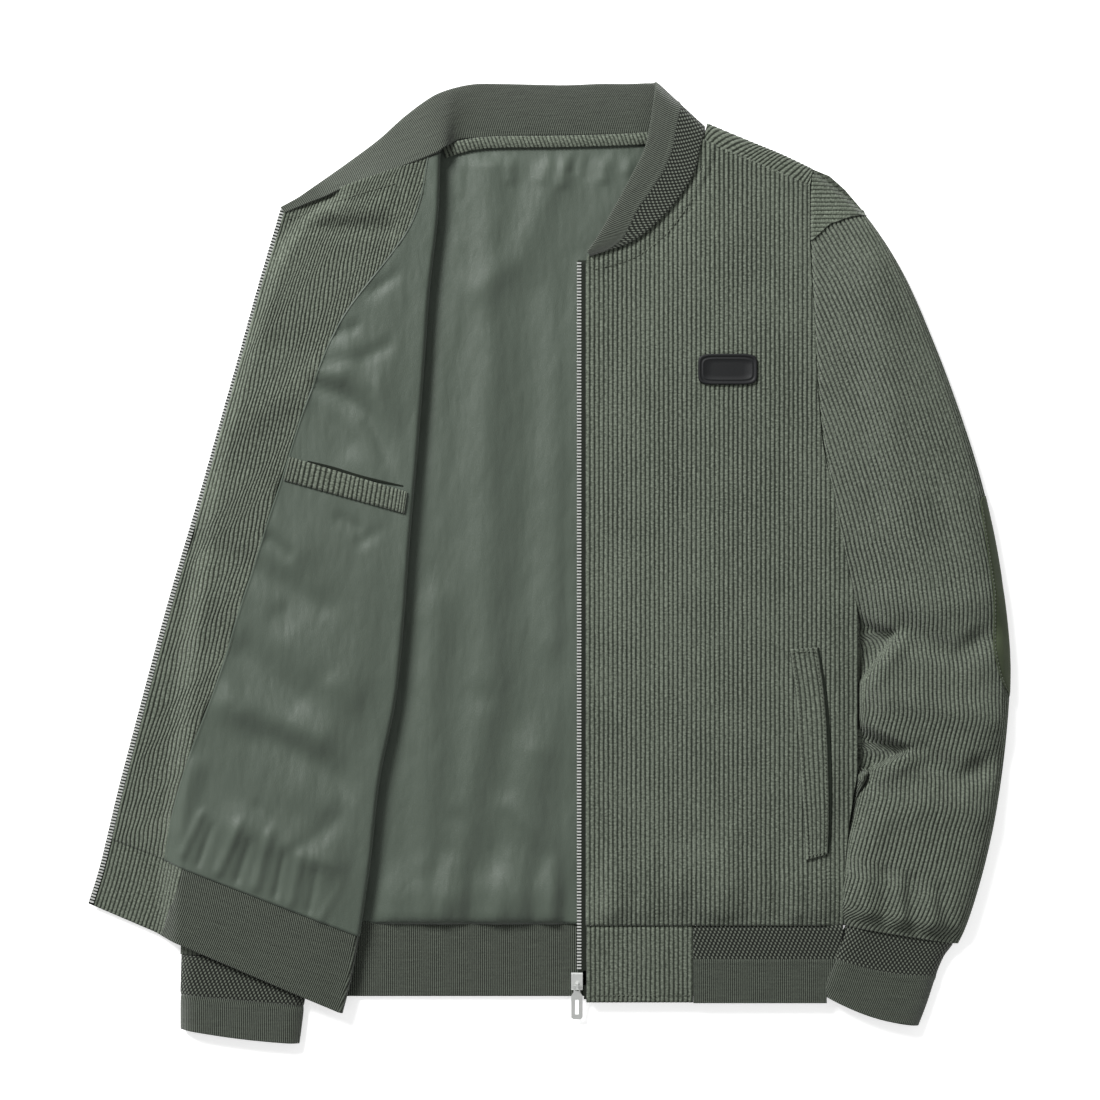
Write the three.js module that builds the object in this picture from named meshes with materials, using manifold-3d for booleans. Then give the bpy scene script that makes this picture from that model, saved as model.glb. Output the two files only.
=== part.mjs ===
// Corduroy bomber jacket laid on a table: the left front lies outer face up, the right front is opened out
// to the side with its lining up. Millimetres, +Z up. The table is z = 0, +Y points to the collar, and the
// wearer's left side is at +X.
import * as THREE from "three";
import Module from "manifold-3d";

// Driving dimensions
const SHELL = 1.6; // corduroy with its interlining
const LINING = 1.0; // satin lining
const FACING = 1.2; // corduroy facing, welts and the strips sewn on
const RIB = 3.0; // rib knit, folded double
const CUFF_WALL = 2.0; // rib of the cuffs
const SEAM = 0.5; // space kept between pieces at a seam
const PLY = 0.4; // space between a panel and what lies on it
const LEFT_EDGE_X = 29; // edge of the left front beside the zip
const HEM_SEAM_Y = -283; // where the hem bands are sewn on
const HEM_BOTTOM_Y = -343;
const FRONT_Z = 7.8; // middle of the left front's cloth at the zip
const FRONT_RISE = 3.5; // how much higher it lies towards the armhole
const HEM_Z = 8.0; // middle of the left hem band
const LINING_DROP = 3.8; // back lining below the left front, middle to middle
const BACK_LINING_Z = 2.4; // middle of the back lining where it lies flat
const FOLD_REACH = 5.4; // centre of the side fold, in from its edge
const FOLD_Z = 8.8; // height of that centre
const FOLD_R = 3.2; // radius of the shell's middle round the fold
const OVER_LINING = (SHELL + LINING) / 2 + PLY; // lining's middle above the shell's middle
const OVER_FACING = (SHELL + FACING) / 2 + PLY;
const EDGE_Z = 3.0; // opened front's shell at its zip edge, near the table
const ZIP_INSET = 3.2; // from the outer line of the teeth to the cloth
const SIDE_Z = 5.0; // height of a laid sleeve's outermost line
const LEFT_SLEEVE_H = 23;
const RIGHT_SLEEVE_H = 10.5;
const ARMHOLE_H = 13;
const LEFT_CUFF_H = 12.5;
const BINDING_Z = 4.7; // middle of the neck binding, over the edges of back and collar
const TAB_WALL = 2.4; // corduroy tab at the end of a hem band, folded double
const TEETH_W = 2.2; // the part of the teeth that shows on the opened side
const TEETH_H = 1.6;

const corduroy = finish("#646b5c", 0.95);
const satin = finish("#5f695f", 0.45);
const rib = finish("#565b52", 0.9);
const suede = finish("#48533a", 0.9);
const rubber = finish("#16191c", 0.5);
const tape = finish("#3a4038", 0.85);
const nickel = finish("#b9bcbc", 0.3, 1);

function finish(color, roughness, metalness = 0) {
  return new THREE.MeshStandardMaterial({ color, roughness, metalness });
}

// Interpolation
const clamp = (x, low, high) => Math.min(Math.max(x, low), high);
const mix = (a, b, t) => a + (b - a) * t;

function ease(x) {
  const t = clamp(x, 0, 1);
  return t * t * (3 - 2 * t);
}

// A row of numbers on the smooth curve through a table's rows, t from 0 to 1.
function rowAt(rows, t) {
  const last = rows.length - 1;
  const s = clamp(t, 0, 1) * last;
  const i = Math.min(Math.floor(s), last - 1);
  const f = s - i;
  const near = [-1, 0, 1, 2].map((k) => rows[clamp(i + k, 0, last)]);
  return near[1].map((_, c) => {
    const [a, b, d, e] = near.map((row) => row[c]);
    return b + 0.5 * f * (d - a + f * (2 * a - 5 * b + 4 * d - e + f * (3 * (b - d) + e - a)));
  });
}

// x on a line of [x, y] points, from high y to low y.
function xOn(points, y) {
  const k = points.findIndex((p) => p[1] <= y);
  if (k === 0) return points[0][0];
  if (k < 0) return points[points.length - 1][0];
  const [a, b] = [points[k - 1], points[k]];
  return mix(a[0], b[0], (a[1] - y) / (a[1] - b[1]));
}

// Shortest distance from (x, y) to a line of points.
function distanceTo(points, x, y) {
  let best = Infinity;
  for (let i = 1; i < points.length; i++) {
    const [ax, ay] = points[i - 1];
    const [dx, dy] = [points[i][0] - ax, points[i][1] - ay];
    const t = clamp(((x - ax) * dx + (y - ay) * dy) / (dx * dx + dy * dy), 0, 1);
    best = Math.min(best, Math.hypot(x - ax - t * dx, y - ay - t * dy));
  }
  return best;
}

// Sum of soft troughs and ridges. Columns: height, half width, then the points that the fold runs through.
function folds(table, x, y) {
  let z = 0;
  for (const [height, width, ...line] of table) {
    const d = distanceTo(line, x, y) / width;
    z += height * Math.exp(-d * d);
  }
  return z;
}

// Walls of cloth
// A closed wall between two faces given as functions of (u, v). Around a tube, u closes on itself.
function wall(name, material, upper, lower, nu, nv, around = false) {
  const columns = around ? nu : nu + 1;
  const size = columns * (nv + 1);
  const points = [];
  for (const face of [upper, lower]) {
    for (let j = 0; j <= nv; j++) {
      for (let i = 0; i < columns; i++) points.push(...face(i / nu, j / nv));
    }
  }
  const index = [];
  const at = (side, i, j) => side * size + j * columns + (i % columns);
  const quad = (a, b, c, d) => index.push(a, b, c, a, c, d);
  for (let j = 0; j < nv; j++) {
    for (let i = 0; i < nu; i++) {
      quad(at(0, i, j), at(0, i + 1, j), at(0, i + 1, j + 1), at(0, i, j + 1));
      quad(at(1, i, j), at(1, i, j + 1), at(1, i + 1, j + 1), at(1, i + 1, j));
    }
  }
  for (let i = 0; i < nu; i++) {
    quad(at(0, i + 1, 0), at(0, i, 0), at(1, i, 0), at(1, i + 1, 0));
    quad(at(0, i, nv), at(0, i + 1, nv), at(1, i + 1, nv), at(1, i, nv));
  }
  for (let j = 0; j < nv && !around; j++) {
    quad(at(0, 0, j), at(0, 0, j + 1), at(1, 0, j + 1), at(1, 0, j));
    quad(at(0, nu, j + 1), at(0, nu, j), at(1, nu, j), at(1, nu, j + 1));
  }
  if (signedVolume(points, index) < 0) {
    for (let k = 0; k < index.length; k += 3) {
      [index[k], index[k + 1]] = [index[k + 1], index[k]];
    }
  }
  const geometry = new THREE.BufferGeometry();
  geometry.setAttribute("position", new THREE.Float32BufferAttribute(points, 3));
  geometry.setIndex(index);
  return named(name, material, geometry);
}

function named(name, material, geometry) {
  const mesh = new THREE.Mesh(geometry, material);
  mesh.name = name;
  return mesh;
}

function signedVolume(points, index) {
  const p = (k) => new THREE.Vector3().fromArray(points, 3 * k);
  let volume = 0;
  for (let k = 0; k < index.length; k += 3) {
    volume += p(index[k]).dot(p(index[k + 1]).cross(p(index[k + 2]))) / 6;
  }
  return volume;
}

// A surface moved out along its own normal, worked out from two short steps on it.
function moved(surface, distance) {
  const step = 1e-3;
  const ahead = (t) => [Math.max(t - step, 0), Math.min(t + step, 1)];
  return (u, v) => {
    const [u0, u1] = [u - step, u + step];
    const [v0, v1] = ahead(v);
    const alongU = new THREE.Vector3(...surface(u1, v)).sub(new THREE.Vector3(...surface(u0, v)));
    const alongV = new THREE.Vector3(...surface(u, v1)).sub(new THREE.Vector3(...surface(u, v0)));
    const normal = alongU.cross(alongV).normalize().multiplyScalar(distance);
    return new THREE.Vector3(...surface(u, v)).add(normal).toArray();
  };
}

// A wall of even thickness about a middle surface.
function cloth(name, material, middle, thick, nu, nv) {
  return wall(name, material, moved(middle, thick / 2), moved(middle, -thick / 2), nu, nv);
}

// A wall whose middle is a height over the plan between two edges. Table columns: x and y of one edge,
// x and y of the other, and how far the row bows down towards -Y.
function laid(name, material, rows, height, thick, nu, nv) {
  const plan = (u, v) => {
    const [ax, ay, bx, by, bow = 0] = rowAt(rows, v);
    return [mix(ax, bx, u), mix(ay, by, u) - bow * Math.sin(Math.PI * u)];
  };
  const face = (side) => (u, v) => {
    const [x, y] = plan(u, v);
    return [x, y, height(x, y) + (side * thick) / 2];
  };
  return wall(name, material, face(1), face(-1), nu, nv);
}

// Left front: neck or zip edge, then armhole or side edge, from shoulder to hem.
const leftFrontRows = [
  [124, 326, 199.5, 294],
  [118.5, 307.5, 199.5, 275],
  [109.5, 290.5, 199.5, 256],
  [93.5, 270, 200, 238],
  [67, 248, 201, 221],
  [32, 234.5, 202, 205],
  [LEFT_EDGE_X, 205, 203.5, 181.5],
  [LEFT_EDGE_X, 166, 205, 148.5],
  [LEFT_EDGE_X, 127, 207, 117.5],
  [LEFT_EDGE_X, 88, 211, 84],
  [LEFT_EDGE_X, 49, 219.5, 49],
  [LEFT_EDGE_X, 6, 227.5, 6],
  [LEFT_EDGE_X, -37, 236.5, -37],
  [LEFT_EDGE_X, -76, 238, -76],
  [LEFT_EDGE_X, -115, 238.5, -115],
  [LEFT_EDGE_X, -154, 238, -154],
  [LEFT_EDGE_X, -193, 232, -193],
  [LEFT_EDGE_X, -232, 225.5, -232],
  [LEFT_EDGE_X, -263, 221.5, -263],
  [LEFT_EDGE_X, HEM_SEAM_Y, 220.5, HEM_SEAM_Y],
];
const leftFrontEdge = leftFrontRows.map((row) => [row[0], row[1]]);
const leftFrontSide = leftFrontRows.map((row) => [row[2], row[3]]);
// Gathers of the left front over the hem band and soft drags. Columns as in folds().
const leftFrontFolds = [
  [1.6, 9, [52, -225], [50, -275]],
  [-1.2, 8, [86, -240], [92, -278]],
  [1.8, 10, [140, -215], [134, -276]],
  [-1.6, 8, [176, -235], [180, -278]],
  [1.6, 8, [196, -245], [194, -276]],
  [0.7, 16, [60, 60], [64, -120]],
  [-0.7, 18, [120, 110], [128, -60]],
];

function frontZ(x, y) {
  const rise = FRONT_RISE * ease((x - LEFT_EDGE_X) / 110);
  const side = 2.2 * ease((x - xOn(leftFrontSide, y) + 16) / 16) * ease((-y - 20) / 40);
  const pouch = 2.6 * ease((-y - 215) / 40) * ease((y - HEM_SEAM_Y) / 14) * ease((x - LEFT_EDGE_X) / 22);
  const calm = ease((y - HEM_SEAM_Y) / 10) * ease((x - LEFT_EDGE_X - 4) / 14);
  const settle = (FRONT_Z + rise - HEM_Z) * ease((HEM_SEAM_Y + 34 - y) / 34);
  return FRONT_Z + rise - side + pouch - settle + calm * folds(leftFrontFolds, x, y);
}

// Opened right front. Columns: zip edge x, y, fold edge x, y, share of the row that is facing, and how far
// the cloth runs back under itself to the side seam.
const rightFrontRows = [
  [-210, 272.5, -84.5, 315.5, 0.93, 30],
  [-226.5, 216.5, -86, 271, 0.855, 48],
  [-240.5, 166, -92.5, 212.5, 0.553, 52],
  [-256, 111, -97, 150, 0.44, 52],
  [-272.5, 52.5, -102.5, 80, 0.385, 50],
  [-285, 10, -108, 17.5, 0.348, 48],
  [-298.5, -37, -112.5, -45, 0.313, 44],
  [-311.5, -85.5, -119, -107, 0.287, 38],
  [-325.5, -138.5, -131.5, -169.5, 0.25, 30],
  [-336, -179, -138.5, -232, 0.227, 24],
  [-344.5, -215, -147, -291.5, 0.229, 20],
];
// The hem band carries on from the last row. Its fifth column is the share of the row that is the tab.
const rightHemRows = [
  [-344.7, -216, -147.1, -292.5, 0.309, 20],
  [-351, -241, -152.5, -322, 0.3, 18],
  [-359, -266.5, -160, -351.5, 0.289, 14],
];
const foldLine = [...rightFrontRows, ...rightHemRows].map((row) => [row[2], row[3]]);

// Right sleeve, under the opened front. Columns: inner edge x, y, outer edge x, y, bow x, y.
const rightSleeveRows = [
  [-168, 8, -154, 284, 0, 0],
  [-167, -8, -187, 262, 0, 0],
  [-166.5, -22, -205, 228, 0, 0],
  [-166, -36, -217, 190, 0, 0],
  [-166, -50, -230, 148, 0, 0],
  [-166, -66, -245, 98, 0, 0],
  [-166.5, -86, -255, 46, 0, 0],
  [-168, -108, -263, -8, 0, 0],
  [-170, -136, -270, -68, 0, 0],
  [-173, -172, -276.5, -132, 0, 0],
  [-177, -212, -281, -192, 0, 0],
  [-182, -258, -285, -252, 0, 0],
  [-187, -306, -287.5, -306, 0, 0],
];
const rightSleeveOuter = rightSleeveRows.map((row) => [row[2], row[3]]);
// Soft diagonal folds of the opened front, in shell, facing and lining alike.
const rightFrontFolds = [
  [-1.6, 11, [-160, 168], [-122, 92]],
  [1.5, 13, [-180, 110], [-120, 160]],
  [-1.8, 12, [-214, 20], [-178, -34]],
  [1.2, 14, [-150, 10], [-180, 56]],
  [-1.8, 12, [-236, -70], [-196, -104]],
  [1.6, 15, [-196, -60], [-150, -100]],
  [-2.2, 13, [-226, -130], [-150, -176]],
  [1.6, 12, [-250, -110], [-178, -136]],
  [2.0, 14, [-240, -205], [-160, -234]],
  [1.0, 10, [-268, -30], [-280, -60]],
  [-1.0, 9, [-300, -120], [-310, -170]],
  [1.2, 9, [-276, -160], [-290, -208]],
];

function openedZ(x, y) {
  const overSleeve = ease((x - xOn(rightSleeveOuter, y) + 22) / 22);
  const clearOfFold = ease((xOn(foldLine, y) - x - 10) / 26);
  const crossFolds = clearOfFold * mix(0.4, 1, overSleeve) * folds(rightFrontFolds, x, y);
  const lift = 1.2 * clearOfFold * overSleeve;
  return mix(EDGE_Z, FOLD_Z + FOLD_R + lift, overSleeve) + crossFolds;
}

// The cloth of the opened front, its middle moved off the shell's middle by off. t runs from 0 at the side
// seam, under the cloth, round the fold from TURN to TOP, over to the facing seam at FACE, and on to the
// zip at 1.
const TURN = 0.1;
const TOP = 0.35;
const FACE = 0.75;
function foldedCloth(rows, off, seamSide = 0) {
  return (t, v) => {
    const [zx, zy, fx, fy, share, leg] = rowAt(rows, v);
    const width = Math.hypot(zx - fx, zy - fy);
    const [ex, ey] = [(zx - fx) / width, (zy - fy) / width];
    const seam = (1 - share) * width + seamSide;
    const radius = FOLD_R + off;
    if (t < TURN) {
      const s = mix(leg, FOLD_REACH, t / TURN);
      return [fx + ex * s, fy + ey * s, FOLD_Z - radius];
    }
    if (t < TOP) {
      const turn = Math.PI * ((t - TURN) / (TOP - TURN) - 0.5);
      const s = FOLD_REACH - radius * Math.cos(turn);
      return [fx + ex * s, fy + ey * s, FOLD_Z + radius * Math.sin(turn)];
    }
    const onLining = mix(FOLD_REACH, seam, (t - TOP) / (FACE - TOP));
    const onFacing = mix(seam, width - ZIP_INSET, (t - FACE) / (1 - FACE));
    const s = t < FACE ? onLining : onFacing;
    return [fx + ex * s, fy + ey * s, openedZ(fx + ex * s, fy + ey * s) + off];
  };
}
// The stretch of such cloth between two values of t.
const stretch = (surface, from, to) => (u, v) => surface(mix(from, to, u), v);
const FRONT_COLUMNS = 20;
const FRONT_STEPS = 17;

const pieces = [];

// Back: flat panel on the table. Columns: right side x, y, left side x, y.
const backRows = [
  [-70, 325, 126, 333],
  [-108, 311, 164, 318],
  [-146, 290, 199.5, 300],
  [-150, 250, 199, 256],
  [-153, 190, 202, 190],
  [-156, 130, 206, 130],
  [-161, 62, 216, 62],
  [-164.5, 8, 227, 5],
  [-163, -60, 237, -60],
  [-165, -140, 237, -140],
  [-170, -212, 229, -212],
  [-175, HEM_SEAM_Y + 0.5, 220.5, HEM_SEAM_Y + 0.5],
];
pieces.push(laid("back_shell", corduroy, backRows, () => SHELL / 2, SHELL, 2, 16));

// Back lining: flat under the side fold, softly folded in the opening, and raised under the left front.
const backLiningFolds = [
  [1.5, 10, [-62, 300], [-76, 60]],
  [2.0, 12, [-34, 318], [-48, -90]],
  [1.3, 10, [12, 318], [6, 140]],
  [-0.7, 9, [-8, 210], [-20, -120]],
  [1.6, 11, [-88, -30], [-96, -230]],
  [2.0, 10, [-52, -120], [-70, -262]],
  [1.8, 11, [-10, -150], [-24, -266]],
];
function liningZ(x, y) {
  const clearOfFold = ease((x - xOn(foldLine, y) - 3) / 22);
  const open = 1 - ease((x - xOn(leftFrontEdge, y) + 26) / 16);
  const underFront = ease((x - xOn(leftFrontEdge, y) + 24) / 18);
  const pouch = 3.6 * ease((-y - 228) / 30) * ease((y - HEM_SEAM_Y) / 10);
  const top = ease((322 - y) / 14);
  const opened = BACK_LINING_Z + open * clearOfFold * top * (folds(backLiningFolds, x, y) + pouch + 0.6);
  const drop = LINING_DROP + 0.9 * (1 - ease((x - LEFT_EDGE_X) / 22));
  return mix(opened, frontZ(Math.max(x, LEFT_EDGE_X), y) - drop, underFront * ease((330 - y) / 30));
}
const backLiningRows = backRows.map(([ax, ay, bx, by]) => [ax + 1, ay, bx - 1, by]);
pieces.push(laid("back_lining", satin, backLiningRows, liningZ, LINING, 18, 23));

const backRibRows = [
  [-176, HEM_SEAM_Y, 208, HEM_SEAM_Y],
  [-178, -339, 208, -339],
];
pieces.push(laid("back_hem_rib", rib, backRibRows, () => 0.1 + RIB / 2, RIB, 8, 2));

// Neck binding over the seam between collar and back. Columns: upper edge x, y, lower edge x, y.
const bindingRows = [
  [-66, 330, -64, 321],
  [-38, 333, -37, 324],
  [9, 333.5, 9, 324.5],
  [60, 335, 61, 326],
  [100, 338, 104, 329],
];
pieces.push(laid("neck_binding", corduroy, bindingRows, () => BINDING_Z, FACING, 2, 16));

// Right sleeve and cuff, left sleeve and cuff: laid tubes, rounded at the sides and flat underneath.
// t runs from 0 at the outer edge, over the top to the inner edge at 0.5, and back underneath. inset gives
// the face inside the wall. Table columns: inner edge x, y, outer edge x, y, and how far the middle of the
// row bows towards -X and -Y.
const TOP_REACH = 0.5;
const UNDER_REACH = 0.6;
function laidTube(rows, topZ, inset = 0) {
  return (t, v) => {
    const [ix, iy, ox, oy, bowX, bowY] = rowAt(rows, v);
    const margin = inset / Math.hypot(ox - ix, oy - iy);
    const angle = 2 * Math.PI * t;
    const share = mix(margin, 1 - margin, (1 - Math.cos(angle)) / 2);
    const bow = Math.sin(Math.PI * share);
    const [x, y] = [mix(ox, ix, share) - bowX * bow, mix(oy, iy, share) - bowY * bow];
    const up = Math.sin(angle);
    if (up < 0) return [x, y, mix(SIDE_Z, inset, Math.min(-up / UNDER_REACH, 1) ** 0.5)];
    return [x, y, mix(SIDE_Z, topZ(x, y) - inset, Math.min(up / TOP_REACH, 1) ** 0.5)];
  };
}

function tube(name, material, rows, topZ, thick, nu, nv) {
  return wall(name, material, laidTube(rows, topZ), laidTube(rows, topZ, thick), nu, nv, true);
}

// The edges of such a tube as lines of points, and its first row, which on a sleeve is the armhole.
function edgesOf(rows) {
  const line = Array.from({ length: 61 }, (_, k) => rowAt(rows, k / 60));
  const [ix, iy, ox, oy, bowX, bowY] = rows[0];
  const armhole = Array.from({ length: 21 }, (_, k) => {
    const bow = Math.sin((Math.PI * k) / 20);
    return [mix(ix, ox, k / 20) - bowX * bow, mix(iy, oy, k / 20) - bowY * bow];
  });
  return { inner: line.map((r) => [r[0], r[1]]), outer: line.map((r) => [r[2], r[3]]), armhole };
}

// Rounded shoulder of a laid tube: 0 on its side line, 1 from radius inwards.
function roundSide(distance, radius) {
  const away = 1 - clamp(distance / radius, 0, 1);
  return Math.sqrt(1 - away * away);
}

const rightEdges = edgesOf(rightSleeveRows);
function rightSleeveZ(x, y) {
  const outerSide = roundSide(distanceTo(rightEdges.outer, x, y), 26);
  const innerSide = roundSide(distanceTo(rightEdges.inner, x, y), 22);
  return mix(SIDE_Z, RIGHT_SLEEVE_H, outerSide * innerSide);
}
pieces.push(tube("right_sleeve", corduroy, rightSleeveRows, rightSleeveZ, SHELL, 16, 13));

const rightCuffRows = [
  [-189, -306.6, -286.5, -306.6, 0, 0],
  [-190, -330, -287, -322, 0, 0],
  [-191.5, -352, -287.5, -343, 0, 0],
  [-194.5, -375.5, -287.5, -364, 0, 1.5],
];
const rightCuffEdges = edgesOf(rightCuffRows);
function rightCuffZ(x, y) {
  const side = Math.min(distanceTo(rightCuffEdges.outer, x, y), distanceTo(rightCuffEdges.inner, x, y));
  return mix(SIDE_Z, RIGHT_SLEEVE_H, roundSide(side, 14));
}
pieces.push(tube("right_cuff", rib, rightCuffRows, rightCuffZ, CUFF_WALL, 16, 4));

// Opened right front and what is sewn to its inside.
const rightShell = foldedCloth(rightFrontRows, 0);
const rightLining = stretch(foldedCloth(rightFrontRows, OVER_LINING, -SEAM / 2), 0, FACE);
const rightFacing = stretch(foldedCloth(rightFrontRows, OVER_FACING, SEAM / 2), FACE, 1);
const liningColumns = FRONT_COLUMNS * FACE;
pieces.push(cloth("right_front", corduroy, rightShell, SHELL, FRONT_COLUMNS, FRONT_STEPS));
pieces.push(cloth("right_front_lining", satin, rightLining, LINING, liningColumns, FRONT_STEPS));
const facingColumns = FRONT_COLUMNS - liningColumns;
pieces.push(cloth("right_facing", corduroy, rightFacing, FACING, facingColumns, FRONT_STEPS));

// Inner welt pocket. Columns: upper edge x, y, lower edge x, y.
const innerWeltRows = [
  [-201.5, 82.5, -206, 64],
  [-152, 67.5, -155, 50],
  [-109.5, 55, -112, 38],
];
const weltZ = (x, y) => openedZ(x, y) + OVER_FACING + FACING + 1.5 * PLY;
pieces.push(laid("right_inner_welt", corduroy, innerWeltRows, weltZ, FACING, 3, 12));

// Right hem tab and hem band, the band turned under at the fold.
const rightTab = stretch(foldedCloth(rightHemRows, 0.8, SEAM), FACE, 1);
pieces.push(cloth("right_hem_tab", corduroy, rightTab, TAB_WALL, 5, 4));
const rightBand = stretch(foldedCloth(rightHemRows, 0.2, -SEAM), 0, FACE);
pieces.push(cloth("right_hem_rib", rib, rightBand, RIB, liningColumns, 4));

// Right zip: tape edge with its teeth, along the opened front and its hem tab.
function rightTeeth(u, v) {
  const [zx, zy, fx, fy] = rowAt([...rightFrontRows, ...rightHemRows.slice(1)], v);
  const share = (TEETH_W * u) / Math.hypot(zx - fx, zy - fy);
  return [mix(zx, fx, share), mix(zy, fy, share), EDGE_Z + OVER_FACING];
}
pieces.push(cloth("right_zip_chain", nickel, rightTeeth, TEETH_H, 1, 36));

// Left front and what is sewn on it.
pieces.push(laid("left_front", corduroy, leftFrontRows, frontZ, SHELL, 12, 26));
const onFront = (thick) => (x, y) => frontZ(x, y) + (SHELL + thick) / 2 + 2 * PLY;

// Pocket welt. Columns: front edge x, y, slit edge x, y.
const pocketWeltRows = [
  [187.5, -67.5, 209.5, -66],
  [192.5, -105, 215.5, -109.5],
  [195.5, -155.5, 218, -162.5],
  [198.5, -197, 218.5, -200],
  [200, -231.5, 217.5, -226.5],
];
pieces.push(laid("left_pocket_welt", corduroy, pocketWeltRows, onFront(FACING), FACING, 3, 16));

// Chest patch: moulded badge with round corners.
const BADGE = { x: 139.5, y: 150.5, halfW: 23, halfH: 12, corner: 0.16, thick: 1.8 };
function badgeSurface(side) {
  return (u, v) => {
    const [p, q] = [2 * u - 1, 2 * v - 1];
    const x = BADGE.x + BADGE.halfW * p * Math.sqrt(1 - BADGE.corner * q ** 8);
    const y = BADGE.y + BADGE.halfH * q * Math.sqrt(1 - 2 * BADGE.corner * p ** 8);
    return [x, y, onFront(BADGE.thick)(x, y) + (side * BADGE.thick) / 2];
  };
}
pieces.push(wall("chest_patch", rubber, badgeSurface(1), badgeSurface(-1), 10, 6));

// Left hem tab and hem band.
const leftTabRows = [
  [31, HEM_SEAM_Y - SEAM, 113.5, HEM_SEAM_Y - SEAM],
  [31, HEM_BOTTOM_Y, 113.5, HEM_BOTTOM_Y],
];
pieces.push(laid("left_hem_tab", corduroy, leftTabRows, () => HEM_Z + 0.1, TAB_WALL, 6, 4));
const leftRibRows = [
  [114, HEM_SEAM_Y - SEAM, 220, HEM_SEAM_Y - SEAM],
  [114, -294.5, 218.5, -294.5],
  [114, -306, 216.5, -306],
  [114, -318, 212, -318],
  [114, -328, 209.5, -328],
  [114, -337, 210, -337],
  [114, HEM_BOTTOM_Y - 0.5, 213, HEM_BOTTOM_Y - 0.5],
];
pieces.push(laid("left_hem_rib", rib, leftRibRows, () => HEM_Z, RIB, 6, 12));

// Shoulder yoke strip, from the forward seam over the shoulder and down to the table.
// Columns: seam x, y, shoulder line x, y.
const yokeRows = [
  [126, 325.9, 130.5, 340.5],
  [150, 315.7, 160, 328],
  [175, 305.1, 183, 318.5],
  [199.5, 294.7, 203, 309.5],
];
function yokeSurface(u, v) {
  const [sx, sy, tx, ty] = rowAt(yokeRows, v);
  const out = Math.sin((Math.PI / 2) * u);
  const [x, y] = [mix(sx, tx, out), mix(sy, ty, out)];
  return [x, y, mix(1.2, frontZ(sx, sy), Math.max(Math.cos((Math.PI / 2) * u), 0) ** 0.7)];
}
pieces.push(cloth("left_yoke", corduroy, yokeSurface, SHELL, 7, 12));

// Left sleeve. Its first row is the curved armhole seam.
const leftSleeveRows = [
  [240.4, -40, 205.3, 307, 15.5, 0],
  [242, -62, 249, 270.5, 12, 0],
  [241.5, -84, 280.5, 220.5, 8, 0],
  [241.5, -99.5, 300.5, 173.5, 4.5, 0],
  [241, -111, 321, 119, 2, 0],
  [241.5, -123, 340.5, 56.5, 0, 0],
  [245, -142.5, 351.5, -2, 0, 0],
  [250, -164, 357.5, -37, 0, 0],
  [241.5, -181.5, 361, -84, 0, 0],
  [235.5, -205, 358.5, -130.5, 0, 0],
  [230.5, -224, 353, -177.5, 0, 0],
  [227.5, -244, 344.5, -224, 0, 0],
  [226, -267, 331, -272, 0, 1],
  [230, -283, 320, -297.5, 0, 3],
];
const leftEdges = edgesOf(leftSleeveRows);
// Creases at the elbow and gathers at the cuff.
const leftSleeveFolds = [
  [-7.5, 11.5, [246, -64], [272, -52], [316, -70], [330, -62]],
  [-2.5, 11, [334, -60], [346, -54]],
  [4, 13, [246, -97], [300, -112], [346, -122]],
  [-8, 11.5, [249, -160], [284, -142], [316, -166], [332, -160]],
  [-2.5, 11, [336, -158], [348, -152]],
  [3, 14, [244, -196], [290, -184], [340, -194]],
  [3, 13, [258, -22], [300, -26], [336, -22]],
  [-2.5, 6, [262, -240], [261, -276]],
  [-2.5, 6, [281, -250], [284, -284]],
  [-2.5, 6, [306, -258], [313, -288]],
  [1.5, 5, [296, -262], [298, -284]],
  [1.5, 14, [250, 230], [268, 120]],
  [-1.5, 12, [236, 150], [256, 40]],
];
const leftCuffLine = [[230, -283], [320, -297.5]];
function leftSleeveZ(x, y) {
  const height = mix(ARMHOLE_H, LEFT_SLEEVE_H, ease(distanceTo(leftEdges.armhole, x, y) / 60));
  const atCuff = ease(distanceTo(leftCuffLine, x, y) / 16);
  const low = mix(LEFT_CUFF_H, height, atCuff);
  const outerSide = roundSide(distanceTo(leftEdges.outer, x, y), 34);
  const innerSide = roundSide(distanceTo(leftEdges.inner, x, y), 24);
  const round = outerSide * innerSide;
  return mix(SIDE_Z, low, round) + round * folds(leftSleeveFolds, x, y) * mix(0.4, 1, atCuff);
}
pieces.push(tube("left_sleeve", corduroy, leftSleeveRows, leftSleeveZ, SHELL, 20, 39));
const leftSleeveSurface = laidTube(leftSleeveRows, leftSleeveZ);

// Sleeve cap: three-cornered piece at the head of the sleeve, from the armhole seam to the outer edge.
const CAP = { alongArmhole: 0.135, alongSleeve: 0.078, lift: PLY + 0.1, thick: 1.0 };
function capSurface(u, v) {
  const t = mix(0.012, CAP.alongArmhole, u);
  return leftSleeveSurface(t, mix(0.003, mix(CAP.alongSleeve, 0.02, u), v));
}

// Elbow patch along the outer side of the sleeve.
const PATCH = { top: 0.392, bottom: 0.645, outer: 0.012, inner: 0.1, lift: 0.7, thick: 1.0 };
function patchSurface(u, v) {
  const bulge = Math.sin(Math.PI * mix(0.06, 0.94, v)) ** 0.6;
  const inner = mix(PATCH.outer, PATCH.inner, bulge);
  return leftSleeveSurface(mix(PATCH.outer, inner, u), mix(PATCH.top, PATCH.bottom, v));
}

// A wall that lies on the outside of the left sleeve.
function onSleeve(name, material, surface, { lift, thick }, nu, nv) {
  return wall(name, material, moved(surface, lift + thick), moved(surface, lift), nu, nv);
}
pieces.push(onSleeve("left_sleeve_cap", corduroy, capSurface, CAP, 8, 4));
pieces.push(onSleeve("left_elbow_patch", suede, patchSurface, PATCH, 8, 14));

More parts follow.
